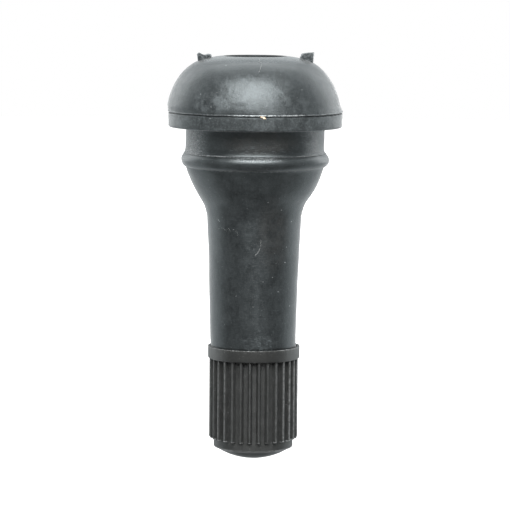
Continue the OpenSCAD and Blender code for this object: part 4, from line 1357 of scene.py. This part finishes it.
class VALVE_OT_core(bpy.types.Operator):
    """Valve core: threaded nut with its key bar, spring, and finishes of the turned pieces"""
    bl_idname = "valve.core"
    bl_label = "Valve Core"

    def execute(self, context):
        size, brass = context.scene.valve_core, context.scene.valve_brass
        ring_low = nut_low.z + size.ring_height
        made = bmesh.new()
        add_nut_ring(context, made, size, brass, ring_low)
        ring = finished(context, made, "core_nut_thread", "turned_brass", 35)
        made = bmesh.new()
        add_key_bar(made, size, ring_low)
        bar = finished(context, made, "core_nut_bar", "turned_brass", 35)
        for piece in (ring, bar):
            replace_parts(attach(piece, "nut"), "core_nut")
        spring = wound_spring(context, size)
        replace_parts(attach(spring, "core"), "core_spring")
        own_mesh(spring)
        for node, material in PLAIN_PIECES.items():
            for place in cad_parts[node].material_slots:
                place.material = finish(context, material)
        return {"FINISHED"}


def aimed(obj, azimuth, elevation, distance, aim=Vector()):
    """Puts an object at a distance from aim and turns it there. The azimuth counts from the front."""
    back = Vector((math.sin(azimuth) * math.cos(elevation), -math.cos(azimuth) * math.cos(elevation),
                   math.sin(elevation)))
    obj.location = aim + back * distance
    obj.rotation_mode = "QUATERNION"
    obj.rotation_quaternion = (-back).to_track_quat("-Z", "Y")


# Colour of the studio as shiny surfaces mirror it. It is bright behind the valve and dim before it,
# and changes between these two shares of the way to the back.
SKY = (0.90, 0.97, 1.0)
MIRRORED_FROM, MIRRORED_TO = -0.35, 0.30
# Name, width and height in metres, watts, azimuth and elevation in degrees
LAMPS = (("front_softbox", (0.48, 0.40), 5.75, 0, 44.5), ("top_softbox", (0.50, 0.36), 1.0, 180, 66),
         ("left_strip", (0.30, 0.60), 0.9, -130, 12), ("right_strip", (0.30, 0.60), 0.9, 130, 12))


def studio_rays(g):
    """Whether a ray comes from the camera, and whether it is mirrored or passes through something."""
    rays = g.node("ShaderNodeLightPath")
    return rays["Is Camera Ray"], rays["Is Glossy Ray"].most(rays["Is Transmission Ray"])


def white_world(context):
    """The world: white to the camera, dim to matt surfaces, and a soft studio to shiny ones."""
    world = bpy.data.worlds.new("white_studio")
    context.scene.world = world
    world.use_nodes = True
    world.node_tree.nodes.clear()
    g = Graph(world.node_tree)
    seen, mirrored = studio_rays(g)
    toward = g.node("ShaderNodeSeparateXYZ", None, {0: g.node("ShaderNodeTexCoord")["Generated"]})["Y"]
    sheen = toward.ramp(MIRRORED_FROM, MIRRORED_TO, 0.12, 1.0)
    strength = seen.most(mirrored * sheen).most(0.25)
    tint = g.blend(mirrored, (1, 1, 1), SKY)
    light = g.node("ShaderNodeBackground", None, {"Color": tint, "Strength": strength})
    g.node("ShaderNodeOutputWorld", None, {"Surface": light[0]})


def floor_material(studio):
    """The floor: a soft shadow near the valve that fades out to white."""
    material = bpy.data.materials.new("studio_floor")
    material.use_nodes = True
    material.node_tree.nodes.clear()
    g = Graph(material.node_tree)
    seen, mirrored = studio_rays(g)
    spot = g.node("ShaderNodeSeparateXYZ", None, {0: g.node("ShaderNodeTexCoord")["Object"]})
    off = (spot["X"] * spot["X"] + spot["Y"] * spot["Y"]) ** 0.5
    far = off.ramp(studio.shadow_start, studio.shadow_end, 0.35, 1.0)
    matt = g.node("ShaderNodeBsdfDiffuse", None, {"Color": (0.8, 0.8, 0.8, 1)})[0]
    white = g.node("ShaderNodeEmission", None, {"Color": (1, 1, 1, 1), "Strength": seen * far})[0]
    lit = g.node("ShaderNodeAddShader", None, {0: matt, 1: white})[0]
    strength = (spot["Y"] / off).ramp(MIRRORED_FROM, MIRRORED_TO, 0.10, 1.0)
    sheen = g.node("ShaderNodeEmission", None, {"Color": (*SKY, 1), "Strength": strength})[0]
    both = g.node("ShaderNodeMixShader", None, {0: mirrored, 1: lit, 2: sheen})[0]
    g.node("ShaderNodeOutputMaterial", None, {"Surface": both})
    return material


def studio_floor(context, studio):
    """The square floor under the valve."""
    made = bmesh.new()
    made.faces.new([made.verts.new((x * studio.floor_reach, y * studio.floor_reach, studio.floor))
                    for x, y in ((-1, -1), (1, -1), (1, 1), (-1, 1))])
    mesh = bpy.data.meshes.new("studio_floor")
    made.to_mesh(mesh)
    made.free()
    mesh.materials.append(floor_material(studio))
    return placed(context, "studio_floor", mesh)


def studio_camera(context, studio):
    """The camera, a little turned about its line of sight as in the photograph."""
    data = bpy.data.cameras.new("camera")
    data.sensor_width, data.lens = 36.0, studio.lens
    data.clip_start = 10 * MM
    camera = placed(context, "camera", data)
    aimed(camera, 0, studio.elevation, studio.distance, Vector(studio.aim))
    camera.rotation_quaternion @= Matrix.Rotation(studio.roll, 3, "Z").to_quaternion()
    return camera


class VALVE_OT_stage(bpy.types.Operator):
    """White floor, soft lights and the camera"""
    bl_idname = "valve.stage"
    bl_label = "Studio"

    def execute(self, context):
        studio = context.scene.valve_studio
        white_world(context)
        floor = studio_floor(context, studio)
        for name, (width, tall), watts, azimuth, elevation in LAMPS:
            data = bpy.data.lights.new(name, "AREA")
            data.shape, data.size, data.size_y, data.energy = "RECTANGLE", width, tall, watts
            lamp = placed(context, name, data)
            lamp.visible_camera = False
            aimed(lamp, math.radians(azimuth), math.radians(elevation), studio.lamp_distance)
        context.scene.camera = studio_camera(context, studio)
        context.scene.view_settings.view_transform = "Standard"
        return {"FINISHED"}


class VALVE_PT_panel(bpy.types.Panel):
    """Sizes, finishes and the operators that build the valve"""
    bl_idname = "VALVE_PT_panel"
    bl_label = "Tyre Valve"
    bl_space_type = "VIEW_3D"
    bl_region_type = "UI"
    bl_category = "Valve"

    def draw(self, context):
        for operator in OPERATORS:
            self.layout.operator(operator.bl_idname)
        for name in GROUPS:
            box = self.layout.box()
            box.label(text=name.removeprefix("valve_").title())
            group = getattr(context.scene, name)
            for item in group.bl_rna.properties:
                if item.identifier not in ("rna_type", "name"):
                    box.prop(group, item.identifier)


GROUPS = {"valve_rubber": RubberSizes, "valve_brass": BrassSizes, "valve_cap": CapSizes,
          "valve_core": CoreSizes, "valve_finishes": Finishes, "valve_studio": Studio}
OPERATORS = (VALVE_OT_stage, VALVE_OT_rubber, VALVE_OT_lint, VALVE_OT_stem, VALVE_OT_cap, VALVE_OT_core)


def register():
    for kind in (*GROUPS.values(), *OPERATORS, VALVE_PT_panel):
        bpy.utils.register_class(kind)
    for name, group in GROUPS.items():
        setattr(bpy.types.Scene, name, PointerProperty(type=group))


def unregister():
    for name in GROUPS:
        delattr(bpy.types.Scene, name)
    for kind in reversed((*GROUPS.values(), *OPERATORS, VALVE_PT_panel)):
        bpy.utils.unregister_class(kind)


def main():
    register()
    bpy.ops.valve.stage()
    bpy.ops.valve.rubber()
    bpy.ops.valve.lint()
    bpy.ops.valve.stem()
    bpy.ops.valve.cap()
    bpy.ops.valve.core()


if __name__ == "__main__":
    main()
